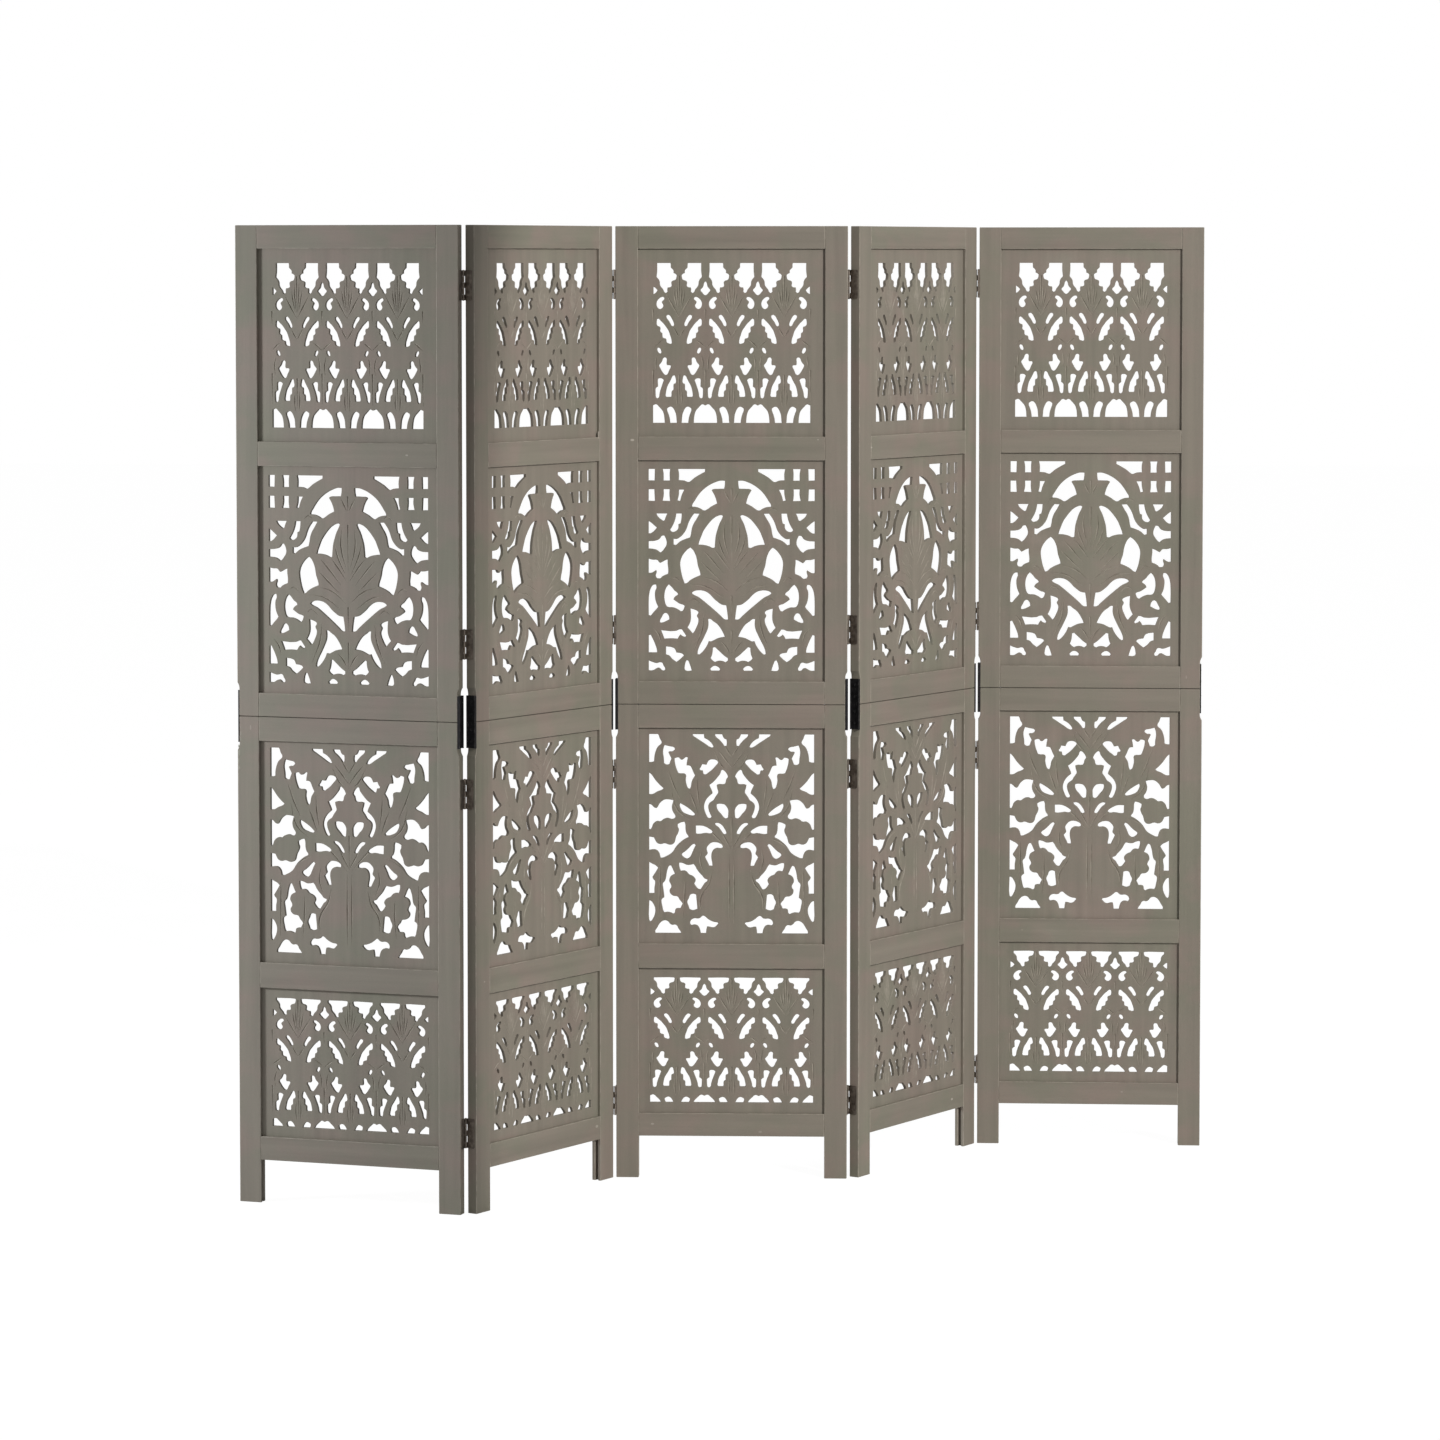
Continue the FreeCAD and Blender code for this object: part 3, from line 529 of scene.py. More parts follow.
VASE_LIGHT_SHARES = (
    ((11.5, 0.2), (20, 0.2), (19.5, 1.2), (15, 2.9), (11, 4.7), (8.5, 6.2), (6.3, 6),
     (5.8, 4.5), (6.2, 2.8), (9, 2.3)),
    ((33.5, 0.2), (47, 0.2), (46.5, 1), (43, 2), (38, 3.4), (32, 5), (27.5, 6.3), (24, 6.9),
     (21.8, 6.7), (23, 5.4), (26, 3.9), (29.5, 2.8), (33, 2.1)),
    ((89, 0.2), (99.8, 0.2), (99.8, 14.3), (96, 14.2), (93.8, 13.8), (93.5, 11.5), (92, 8.8),
     (89.5, 6.6), (85, 4.8), (84.8, 4), (87, 2.3), (88.2, 0.8)),
    ((81, 5.7), (82.5, 7.5), (83, 9.5), (82, 12.5), (81.8, 14.7), (79, 15.5), (75.5, 15.3),
     (74, 13.5), (73, 12.5), (74.5, 11), (76.5, 9.3), (75, 8.9), (72, 8.9), (68.5, 7.8),
     (69.5, 6.9), (75, 6.3)),
    ((22.5, 12.8), (27, 13.2), (29, 14.3), (30.3, 15.5), (35.5, 15.2), (37, 16.6),
     (38.8, 17.6), (38, 18.3), (35, 18.4), (34, 20.1), (31.5, 20.4), (29, 19.7), (24, 18.1),
     (20, 16.3), (17, 14.9), (16.2, 14.2), (18, 13.3)),
    ((53, 11.9), (55, 11.7), (58, 12.6), (60, 13), (62, 12.7), (63.5, 11.9), (66, 11.9),
     (69, 12.4), (68.8, 14), (67.5, 16.5), (65.5, 18.8), (64.5, 19.6), (62, 19.9), (57, 20),
     (55.3, 20.6), (55.5, 23), (54.5, 25.5), (52.5, 27.3), (50.5, 27.6), (49.3, 26.3),
     (48, 23.5), (45.5, 21.7), (44.3, 20.8), (46.5, 19), (48.5, 17), (50, 16.1),
     (54.5, 15.8), (54, 14)),
    ((10.5, 18), (12, 18.2), (13.5, 19.8), (17, 21.8), (21, 23.7), (25, 25.1), (27, 25.6),
     (25.5, 27), (23.5, 28.8), (23, 29.8), (26.5, 31), (30, 32.6), (32.5, 34.7), (33.3, 37),
     (32, 39.2), (29.5, 41.5), (28, 42.2), (25.5, 42.2), (24.3, 41.5), (26.5, 39.5),
     (28, 37.5), (28, 35.6), (26, 34.4), (22, 33.2), (20, 31.8), (17.3, 30.2), (16.2, 29.5),
     (17.5, 27), (18, 25.6), (15, 25.2), (9.5, 25.2), (8, 24.9), (6.5, 22.8), (4.3, 21.5),
     (5.5, 20.2), (8.5, 18.6)),
    ((8.5, 35.4), (10, 35.2), (16.5, 35.1), (18, 35.4), (17.8, 37), (16, 38.6),
     (12.5, 40.2), (9, 42), (7, 42.4), (4.5, 42), (4, 39.5), (4.3, 37.8)),
    ((62, 34.8), (62.8, 35.8), (61.5, 37.6), (59, 39.2), (54, 40.3), (48, 41), (45.5, 41),
     (44.3, 40.2), (47, 39), (51, 37.6), (56, 36.2)),
    ((70.5, 33.3), (76, 32.9), (81, 33), (84.5, 33.9), (87.5, 35.2), (89.5, 36.7),
     (91, 37.3), (93.5, 37), (97, 35.6), (99.8, 35.2), (99.8, 47.8), (98, 48), (96.7, 47),
     (95.5, 45.6), (93, 44.4), (90, 43.8), (86, 43.9), (83, 43), (79, 42.3), (76, 42.3),
     (73.5, 42.7), (71, 42.7), (68.5, 42), (68.2, 41), (70.5, 39.5), (72, 37.8),
     (72.2, 36), (71, 34.3)),
    ((99.8, 19.5), (97.5, 20.2), (92, 23.3), (86, 26), (82.3, 27.3), (84, 28), (90, 29),
     (95, 30.2), (98, 30.4), (99.8, 30.3)),
    ((14, 45), (17, 44.6), (20, 44.8), (19.5, 45.5), (15.5, 46.9), (12.5, 48.5), (10, 50),
     (8.5, 50.3), (6.3, 50), (6.5, 49.2), (9, 47.2), (11.5, 45.8)),
    ((33, 46.3), (36, 46), (43.3, 46), (43, 50), (40, 50.2), (31, 49.7), (25, 49.9),
     (23, 49.2), (23.5, 48.7), (28, 47.3)),
    ((57, 44.1), (61, 44.4), (65.3, 45.3), (65, 46.8), (63.8, 48), (65, 50), (67, 51.5),
     (68, 53), (69, 54.4), (71.5, 55.4), (75.5, 55.6), (81, 54.9), (85, 55.3), (88, 55.2),
     (91, 54.4), (92.5, 53.3), (94, 52), (96.5, 51.8), (99.8, 51.6), (99.8, 58.3),
     (94, 58), (91, 58.3), (88, 59.5), (86.5, 61.3), (86, 62.2), (83.5, 62.2), (80, 61.6),
     (74, 60.2), (71, 59), (68, 57), (65, 55.5), (61, 54), (57, 52.8), (52.5, 51.9),
     (52.3, 51.3), (54.5, 50), (55.8, 47.8), (56, 45.5)),
    ((11, 55.9), (14, 54.9), (19, 54.3), (24, 54.5), (27.5, 55.6), (30, 57.2), (29.8, 58.6),
     (29, 60), (31, 61.1), (32, 61.7), (31, 62.7), (29, 64.3), (27, 66.1), (23.2, 66.2),
     (23.3, 65), (24.3, 62.8), (24.5, 60.5), (23.5, 59), (21.5, 57.9), (18, 57.2),
     (13, 57.3), (10.8, 57)),
    ((45, 55.1), (47, 55.4), (52, 57.4), (56, 58.9), (60, 60.2), (60.2, 60.7), (58, 61.8),
     (55, 62.5), (53, 62.5), (50, 61.5), (48, 59.8), (45.5, 57.4), (43.5, 55.9)),
    ((99.8, 64.3), (96, 65.2), (92, 66), (89, 67.2), (91.5, 69), (94, 70.6), (96, 71.9),
     (95, 72.8), (93, 73.7), (92.7, 75), (93.5, 77), (93.5, 80), (99.8, 80)),
    ((46, 65.3), (49, 65.6), (54, 65.7), (58, 65), (62, 64.6), (63.5, 64.7), (63.5, 66),
     (62.5, 67.8), (61.5, 68.8), (57, 68.6), (54, 69.3), (51.5, 70.5), (48, 71.1),
     (45, 72.1), (43.5, 73.3), (45.2, 75.2), (43.5, 76.3), (40, 77.8), (37.5, 77.9),
     (35, 76.3), (33, 75), (29.5, 73.7), (29.3, 73), (33, 72.4), (35, 71.3), (38.5, 69.8),
     (42, 67.9), (44, 66.3)),
    ((73.5, 66), (75.5, 66.2), (77.5, 68), (78.7, 70), (79.5, 72.3), (81, 74), (83.2, 75),
     (82.8, 77.5), (82, 80), (81.5, 82), (84.5, 83), (85, 84), (84, 86.5), (82.5, 89),
     (81.5, 89.6), (77, 89.4), (73, 89.8), (70.5, 90.3), (69, 89.8), (68, 88), (66.5, 87.6),
     (62, 87.5), (61, 86.5), (59.3, 85.2), (61, 84.1), (63, 83.2), (64.5, 82), (66, 81.5),
     (70, 81.3), (73, 80.6), (75, 79.3), (74.8, 78), (73.5, 77.3), (73, 76.3), (74, 75.2),
     (75.5, 74), (75.3, 72.8), (74, 71.6), (71, 70.7), (68.5, 70.3), (70, 69), (71.5, 67.5)),
    ((43, 80.6), (46.5, 80.2), (50, 80.7), (51.5, 82.3), (53.5, 84), (53.5, 84.9),
     (52, 86.5), (51, 87.9), (47, 88.5), (41.5, 87.8), (41.8, 86), (42.5, 83)),
    ((99.8, 83.6), (97.5, 83.9), (95, 85.2), (93, 87), (92.5, 88.8), (93.5, 91),
     (95.5, 92.8), (97.5, 94), (98.5, 94.2), (99.8, 93.5)),
    ((61, 100), (62, 99), (64.5, 97.6), (66, 96.3), (68.5, 95.7), (71.5, 95.9), (74.5, 95.3),
     (77, 94.1), (80, 93.6), (83.5, 93.9), (87, 95.1), (90, 97.2), (92.5, 99), (92.3, 100)),
    ((34, 91.2), (36, 91.5), (38, 92.3), (41, 92.6), (45, 92.5), (48.5, 93.2), (50, 94.3),
     (50, 95.3), (48.5, 96), (44.5, 95.7), (41.5, 96.1), (39.5, 97), (38, 98.6), (37.3, 100),
     (31, 100), (30.5, 98), (29.8, 96.7), (27.5, 96.7), (23, 97.1), (20, 96.8), (17.5, 95.8),
     (16, 95.1), (17, 94.6), (21, 94.3), (25.5, 93.6), (29.5, 92.5), (32, 91.6)),
)
VASE_VEIN_SHARES = (
    ((2.8, 60.5), (2.8, 78), (2.8, 95)),
    ((23, 68), (27.5, 75), (35.5, 80), (38.5, 84.5), (37.5, 88)),
    ((18, 7.5), (9, 12), (0, 17)),
    ((10, 5), (4, 9), (0, 11.5)),
    ((21, 9), (12, 16), (6, 18)),
    ((0, 42), (0, 57)),
    ((14, 47.5), (7, 53), (0, 58)),
    ((38, 44.5), (20, 51), (3, 59)),
    ((51, 29), (46, 34), (40, 41)),
    ((42, 22), (41, 30), (38, 38)),
    ((78, 17), (70, 26), (62, 33)),
    ((74, 27), (66, 38), (50, 43.5)),
    ((70, 58), (60, 54.5), (48, 52.5)),
    ((57, 72), (57, 80), (59, 92)),
    ((87, 64), (87, 74), (88, 92)),
    ((36, 58), (38, 64), (33, 70)),
)


def cut_off(points, level, keep_under):
    """What is left of an outline under a level, or over it."""
    def stays(down):
        return down >= level if keep_under else down <= level

    kept = []
    for index, (across, down) in enumerate(points):
        last_across, last_down = points[index - 1]
        if stays(down) != stays(last_down):
            share = (level - last_down) / (down - last_down)
            kept.append((last_across + share * (across - last_across), level))
        if stays(down):
            kept.append((across, down))
    return kept


def twice(vein):
    """Whether a vein leaves the middle line, so that the other side has one like it."""
    return vein[0][0] or vein[-1][0]


def leaf_row(half_width, rise, head, foot, low_row_drop):
    """Three leaves side by side: the lights and veins, in metres from the field's head."""
    half_leaf = half_width / LEAVES
    drop = rise / (foot - head)

    def at(middle, side, points):
        return [(middle + side * across / 100 * half_leaf, -(down - head) * drop)
                for across, down in points]

    def windowed(points):
        if min(down for across, down in points) > LOW_ROW:
            points = [(across, down + low_row_drop) for across, down in points]
        return cut_off(cut_off(points, head, True), foot, False)

    lights, veins = [], []
    left, right = -2 * half_leaf, 2 * half_leaf
    for middle in (left, 0.0, right):
        for side in (-1, 1):
            lights += [at(middle, side, windowed(points)) for points in LEAF_LIGHT_SHARES]
            veins += [at(middle, side, vein) for vein in LEAF_VEIN_SHARES
                      if side > 0 or twice(vein)]
    for half in (DIAMOND_SHARES, DOME_SHARES):
        mirrored = tuple((200 - across, down) for across, down in half)
        whole = windowed(half + mirrored[::-1])
        lights += [at(middle, 1, whole) for middle in (left, 0.0)]
    for middle, side in ((left, -1), (right, 1)):
        lights += [at(middle, side, windowed(half))
                   for half in (END_DIAMOND_SHARES, DOME_SHARES)]
    return lights, veins


def mirrored_field(half_width, rise, light_shares, vein_shares):
    """A pattern that is the same to the left and right of its middle."""
    def at(side, points):
        return [(side * across / 100 * half_width, -down / 100 * rise)
                for across, down in points]

    lights = [at(side, points) for points in light_shares for side in (-1, 1)]
    veins = [at(side, vein) for vein in vein_shares for side in (-1, 1)
             if side > 0 or twice(vein)]
    return lights, veins


def without_repeats(points):
    kept = []
    for point in points:
        if not kept or math.dist(point, kept[-1]) > LEAST_STEP:
            kept.append(point)
    if math.dist(kept[0], kept[-1]) < LEAST_STEP:
        kept.pop()
    return kept


def draw_line(curve, closed, places, turns):
    """A line through the places, whose turns are sharp or smooth. It gives back its knots."""
    line = curve.splines.new("BEZIER")
    line.bezier_points.add(len(places) - 1)
    line.use_cyclic_u = closed
    for knot, place, turn in zip(line.bezier_points, places, turns):
        knot.co = place
        knot.handle_left_type = turn
        knot.handle_right_type = turn
    return line.bezier_points


def draw_closed(curve, points, lift):
    """One closed line through the points, sharp where it turns hard."""
    points = [Vector(point) for point in without_repeats(points)]
    turns = []
    for index, here in enumerate(points):
        before = here - points[index - 1]
        after = points[(index + 1) % len(points)] - here
        turns.append("VECTOR" if before.angle(after) > CORNER_TURN else "AUTO")
    draw_line(curve, True, [(here.x, here.y + lift, 0) for here in points], turns)


def mesh_of(item):
    """The mesh that Blender makes of a curve or a worked object, closed up."""
    shown = item.evaluated_get(bpy.context.evaluated_depsgraph_get())
    mesh = bpy.data.meshes.new_from_object(shown)
    bpy.data.objects.remove(item)
    shape = bmesh.new()
    shape.from_mesh(mesh)
    bmesh.ops.remove_doubles(shape, verts=shape.verts, dist=KNIT_GAP)
    bmesh.ops.recalc_face_normals(shape, faces=shape.faces)
    shape.to_mesh(mesh)
    shape.free()
    return mesh


def vein_cutters(veins, lift):
    """Four-sided tapering bars, sunk nearly to their middle in the front face, each once."""
    bars = bpy.data.curves.new("vein_bars", "CURVE")
    bars.dimensions = "3D"
    bars.twist_mode = "Z_UP"
    bars.resolution_u = CUT_STEPS
    bars.bevel_depth = CUT_HALF_WIDTH
    bars.bevel_resolution = 0
    bars.use_fill_caps = True
    unlike = {tuple(round(part / FINISH_GAP) for point in points for part in point): points
              for points in veins}
    for number, points in enumerate(unlike.values()):
        level = FRET_THICKNESS / 2 + CUT_LIFTS[number % len(CUT_LIFTS)]
        places = [(across, up + lift, level) for across, up in points]
        knots = draw_line(bars, False, places, ["AUTO"] * len(places))
        knots[-1].radius = CUT_TIP_SHARE
        if len(places) > 2:
            knots[0].radius = CUT_TIP_SHARE
    return mesh_of(set_out("vein_bars", bars))


def mark_and_crisp(mesh):
    """Mark the chamfers as arris, and keep the flat faces flat beside the rounded walls."""
    shape = bmesh.new()
    shape.from_mesh(mesh)
    mark = shape.faces.layers.float.new("arris")
    for face in shape.faces:
        tilt = abs(face.normal.z)
        face.smooth = tilt < FLAT_TILT
        # The chamfers get the paler arris paint: partly rubbed paint, partly a painted highlight
        if CHAMFER_TILT < tilt < FLAT_TILT:
            face[mark] = 1.0
    for edge in shape.edges:
        edge.smooth = (all(face.smooth for face in edge.link_faces)
                       and edge.calc_face_angle(0) < SMOOTH_TURN)
    shape.to_mesh(mesh)
    shape.free()


def carved_fret(name, node, field_low_mm, lights, veins):
    """The sheet with its lights and veins, drawn round its own middle, facing up."""
    low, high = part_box(node)
    half_height = (high.z - low.z) / 2
    half_width = (high.x - low.x) / 2
    lift = half_height - field_low_mm * MM
    sheet = bpy.data.curves.new(name, "CURVE")
    sheet.dimensions = "2D"
    sheet.fill_mode = "BOTH"
    sheet.resolution_u = CURVE_STEPS
    sheet.extrude = FRET_THICKNESS / 2 - FRET_CHAMFER
    sheet.bevel_depth = FRET_CHAMFER
    sheet.bevel_resolution = 0
    sheet.offset = -FRET_CHAMFER
    border = [(-half_width, -half_height), (half_width, -half_height),
              (half_width, half_height), (-half_width, half_height)]
    draw_closed(sheet, border, 0)
    for points in lights:
        draw_closed(sheet, points, lift)
    board = set_out(name, mesh_of(set_out(name, sheet)))
    bars = set_out(name + "_veins", vein_cutters(veins, lift))
    cut = board.modifiers.new("veins", "BOOLEAN")
    cut.operation = "DIFFERENCE"
    cut.solver = "EXACT"
    cut.use_self = True
    cut.object = bars
    carved = mesh_of(board)
    bpy.data.objects.remove(bars)
    mark_and_crisp(carved)
    return carved


def place_of(node, panel):
    """The middle of a node's box, turned the way its panel faces."""
    low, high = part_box(node)
    facing = Matrix.Rotation(math.radians(HEADING[panel]), 4, "Z")
    return Matrix.Translation((low + high) / 2) @ facing


ENGAGED_MM = 6.5
SIGHT_MM = 161.0
# The margins left at the head and the sides of each field, and its rise, in millimetres
FIELDS = {
    "top_frieze": {"head": 24.5, "side": 25.5, "rise": 275.0},
    "bottom_frieze": {"head": 17.0, "side": 19.5, "rise": 218.0},
    "lotus_fret": {"head": 14.5, "side": 17.5, "rise": 349.5},
    "vase_fret": {"head": 10.5, "side": 18.0, "rise": 347.0},
}
# Where a frieze cuts its leaves off at the head and the foot, and the drop of its lowest row
LEAF_WINDOWS = {"top_frieze": (0, 100, 0.0), "bottom_frieze": (7.1, 95, 1.2)}
PICTURES = {
    "lotus_fret": (LOTUS_LIGHT_SHARES, LOTUS_VEIN_SHARES),
    "vase_fret": (VASE_LIGHT_SHARES, VASE_VEIN_SHARES),
}
MIDDLE_PANEL = 3
STOOD_UP = Matrix.Rotation(math.radians(90), 4, "X")
for kind, field in FIELDS.items():
    half_width = (SIGHT_MM - field["side"]) * MM
    rise = field["rise"] * MM
    if kind in PICTURES:
        lights, veins = mirrored_field(half_width, rise, *PICTURES[kind])
    else:
        lights, veins = leaf_row(half_width, rise, *LEAF_WINDOWS[kind])
    pattern = carved_fret(kind, "%s_%d" % (kind, MIDDLE_PANEL), ENGAGED_MM + field["head"],
                          lights, veins)
    for panel in PANELS:
        node = "%s_%d" % (kind, panel)
        mesh = pattern.copy()
        mesh.transform(place_of(node, panel) @ STOOD_UP)
        placed_piece(mesh, "carved_" + node, upright_paint, panel, "fret_paint", node)


# Joining channels
# A bent steel channel is let into each outer edge across the seam, and keeps the two
# halves of a panel in line. It is dipped in black paint and held by four pan-head screws.
# The two at the ends of the screen have their sides filed down, so they don't stand out.
CHANNEL_ARRIS = 0.3 * MM
CHANNEL_ARRIS_STEPS = 2
CHANNEL_WEB = 198.0 * MM
OPEN_SIDE = {1: -1, 5: 1}
OPEN_REACH = 198.7 * MM
CHANNEL_SCREW_LEVELS = (-33 * MM, -13 * MM, 13 * MM, 33 * MM)
CHANNEL_SCREW_RADIUS = 2.7 * MM
CHANNEL_SCREW_RISE = 1.1 * MM
SCREW_SIDES = 16
CROWN_SHARE = 0.72
DRIVE_RIM_SHARE = 0.30
DRIVE_DEPTH_SHARE = 0.6
BLACK_PAINT = (20, 19, 20)
BLACK_SHEEN = (30, 29, 31)
BARE_STEEL = (92, 89, 85)
METAL_MARKS = {"Strength": 0.2, "Distance": 0.05 * MM}


def panel_place(panel):
    """The panel's own frame: its middle, across along X and front towards -Y."""
    place = place_of("upper_rails_%d" % panel, panel)
    place.translation.z = 0
    return place


def mottled():
    """Cloudy unevenness of a dipped or aged metal face, with fine scratches."""
    group, given, result = effect(
        "mottled",
        {"Vector": "Vector", "First": "Color", "Second": "Color", "Worn": "Color",
         "Arris": "Float"},
        {"Color": "Color", "Cloud": "Float", "Height": "Float"},
    )
    patches = noise(group, given["Vector"], scale=140, detail=4, roughness=0.6)
    cloud = spread(group, patches, low=0.35, high=0.65)
    face = blended(group, cloud, given["First"], given["Second"])
    upright = stretched(group, given["Vector"], (900.0, 900.0, 120.0))
    scratches = noise(group, upright, scale=1, detail=2)
    rubbed = worked(group, "MAXIMUM", spread(group, scratches, low=0.60, high=0.72),
                    given["Arris"])
    rubbed = worked(group, "MULTIPLY", rubbed,
                    spread(group, cloud, low=0.4, high=1.0, bottom=0.1, top=0.8))
    colour = blended(group, rubbed, face, given["Worn"])
    feed_all(group, result, {"Color": colour, "Cloud": cloud, "Height": scratches})
    return group


MOTTLED = mottled()


def metal(name, first, second, worn, metallic, smooth, rough, shine=0.5):
    """A metal or painted metal face whose clouds go from a smooth to a rough tone."""
    material, tree, place, arris = bare_finish(name)
    skin = placed_group(tree, MOTTLED, Vector=place, First=tone(*first), Second=tone(*second),
                        Worn=tone(*worn), Arris=arris)
    dulled = spread(tree, skin["Cloud"], low=0.0, high=1.0, bottom=smooth, top=rough)
    finish_with(tree, skin["Height"], METAL_MARKS, Base_Color=skin["Color"], Roughness=dulled,
                Metallic=metallic, Specular_IOR_Level=shine)
    return material


def add_screw(shape, place, radius, rise):
    """A low domed head with a sunk drive, standing on the face that place gives."""
    made = bmesh.ops.create_cone(shape, cap_ends=True, cap_tris=False, segments=SCREW_SIDES,
                                 radius1=radius, radius2=radius * CROWN_SHARE, depth=rise)
    top = max({face for vert in made["verts"] for face in vert.link_faces},
              key=lambda face: face.calc_center_median().z)
    drive = bmesh.ops.inset_individual(shape, faces=[top], thickness=radius * DRIVE_RIM_SHARE)
    bmesh.ops.translate(shape, verts=top.verts, vec=(0, 0, -rise * DRIVE_DEPTH_SHARE))
    verts = set(made["verts"]) | {vert for face in drive["faces"] for vert in face.verts}
    verts |= set(top.verts)
    bmesh.ops.transform(shape, verts=list(verts),
                        matrix=place @ Matrix.Translation((0, 0, rise / 2)))


def outward(side, across, along, level):
    """A place on an outer edge, with its own Z pointing away from the panel."""
    turn = Matrix.Rotation(math.radians(90 * side), 4, "Y")
    return Matrix.Translation((side * across, along, level)) @ turn


channel_paint = metal("black_dipped_paint", BLACK_PAINT, BLACK_SHEEN, BARE_STEEL, metallic=0.0,
                      smooth=0.42, rough=0.60, shine=0.2)
for panel in PANELS:
    node = "joining_channels_%d" % panel
    channels = merged_copy(node)
    place = panel_place(panel)
    if panel in OPEN_SIDE:
        for vert in channels.verts:
            local = place.inverted() @ vert.co
            if local.x * OPEN_SIDE[panel] > OPEN_REACH:
                local.x = OPEN_SIDE[panel] * OPEN_REACH
                vert.co = place @ local
    ease_arrises(channels, CHANNEL_ARRIS, CHANNEL_ARRIS_STEPS)
    for side in (-1, 1):
        for level in CHANNEL_SCREW_LEVELS:
            add_screw(channels, place @ outward(side, CHANNEL_WEB, 0, SEAM_LEVEL + level),
                      CHANNEL_SCREW_RADIUS, CHANNEL_SCREW_RISE)
    piece_from(channels, "screwed_" + node, channel_paint, panel, "channel_steel", node)


# Hinges
# Four steel butt hinges join each pair of panels, and fold round a loose pin: the left
# leaf has two knuckles, and the right leaf the other three. The steel is darkened.
HINGE_LENGTH = 50 * MM
LEAF_WIDTH = 14 * MM
LEAF_THICKNESS = 1.1 * MM
LEAF_CORNER = 2 * MM
HALF_PANEL = 200 * MM
HALF_THICKNESS = 9 * MM
BARREL_RADIUS = 1.8 * MM
BARREL_DEPTH = HALF_THICKNESS + 2.8 * MM
AXIS_ACROSS = 201.6 * MM
KNUCKLES = 5
KNUCKLE_GAP = 0.3 * MM
KNUCKLE_BITE = 1 * MM
KNUCKLE_RIM = 0.25 * MM
OWN_KNUCKLES = {"left": (1, 3), "right": (0, 2, 4)}
BARREL_SIDES = 28
RIM_STEPS = 2
CORNER_STEPS = 4
PIN_RADIUS = 1.0 * MM
PIN_HEAD_RADIUS = 1.55 * MM
PIN_HEAD_RISE = 0.55 * MM
PIN_RIM = 0.2 * MM
HINGE_LEVELS = (135 * MM, 704 * MM, 954 * MM, 1550 * MM)
RIDGE_FOLDS = (1, 3)
LEAF_SCREW_RADIUS = 2.1 * MM
LEAF_SCREW_RISE = 0.2 * MM
# Where each screw sits: along the leaf from its middle, and in from the barrel
LEAF_SCREW_SHARES = ((-0.34, 0.36), (0.0, 0.62), (0.34, 0.36))
DARK_STEEL = (96, 89, 82)
AGED_STEEL = (130, 121, 112)
BRIGHT_STEEL = (168, 161, 151)


def add_block(shape, low, high):
    """A square-edged block between two corners. It gives back its vertices."""
    made = bmesh.ops.create_cube(shape, size=1)["verts"]
    low, high = Vector(low), Vector(high)
    bmesh.ops.scale(shape, verts=made, vec=high - low)
    bmesh.ops.translate(shape, verts=made, vec=(low + high) / 2)
    return made


def blank_shape():
    """An empty shape that can carry marks for its arrises."""
    shape = bmesh.new()
    shape.faces.layers.float.new("arris")
    return shape


def piece_on_panel(shape, name, material, panel, *rest):
    """A shape that was made in the panel's own frame, as a piece."""
    bmesh.ops.transform(shape, matrix=panel_place(panel), verts=shape.verts)
    piece_from(shape, name, material, panel, *rest)


def add_barrel(shape, middle, radius, height, rim):
    """A round upright bar with softened rims."""
    made = bmesh.ops.create_cone(shape, cap_ends=True, segments=BARREL_SIDES, radius1=radius,
                                 radius2=radius, depth=height)["verts"]
    bmesh.ops.translate(shape, verts=made, vec=middle)
    rims = {edge for vert in made for edge in vert.link_edges
            if abs(edge.verts[0].co.z - edge.verts[1].co.z) < FINISH_GAP}
    rounded(shape, list(rims), rim, RIM_STEPS)


def hinge_leaves(side, back, own_knuckles):
    """The four leaves on one edge of a panel, with their barrel behind it or before it."""
    shape = blank_shape()
    inner, outer = sorted((side * HALF_PANEL, side * (HALF_PANEL + LEAF_THICKNESS)))
    near = back * HALF_THICKNESS
    far = back * (HALF_THICKNESS - LEAF_WIDTH)
    axis_depth = back * BARREL_DEPTH
    pitch = HINGE_LENGTH / KNUCKLES
    half = (pitch - KNUCKLE_GAP) / 2
    depths = sorted((near - back * KNUCKLE_BITE, axis_depth))
    for level in HINGE_LEVELS:
        low, high = level - HINGE_LENGTH / 2, level + HINGE_LENGTH / 2
        plate = add_block(shape, (inner, min(near, far), low), (outer, max(near, far), high))
        corners = {edge for vert in plate for edge in vert.link_edges
                   if all(abs(end.co.y - far) < FINISH_GAP for end in edge.verts)
                   and abs(edge.verts[0].co.x - edge.verts[1].co.x) > FINISH_GAP}
        rounded(shape, list(corners), LEAF_CORNER, CORNER_STEPS)
        for knuckle in own_knuckles:
            middle = low + (knuckle + 0.5) * pitch
            add_block(shape, (inner, depths[0], middle - half),
                      (outer, depths[1], middle + half))
            add_barrel(shape, (side * AXIS_ACROSS, axis_depth, middle), BARREL_RADIUS, 2 * half,
                       KNUCKLE_RIM)
        for along, inward in LEAF_SCREW_SHARES:
            place = outward(side, HALF_PANEL + LEAF_THICKNESS, near + (far - near) * inward,
                            level + along * HINGE_LENGTH)
            add_screw(shape, place, LEAF_SCREW_RADIUS, LEAF_SCREW_RISE)
    return shape


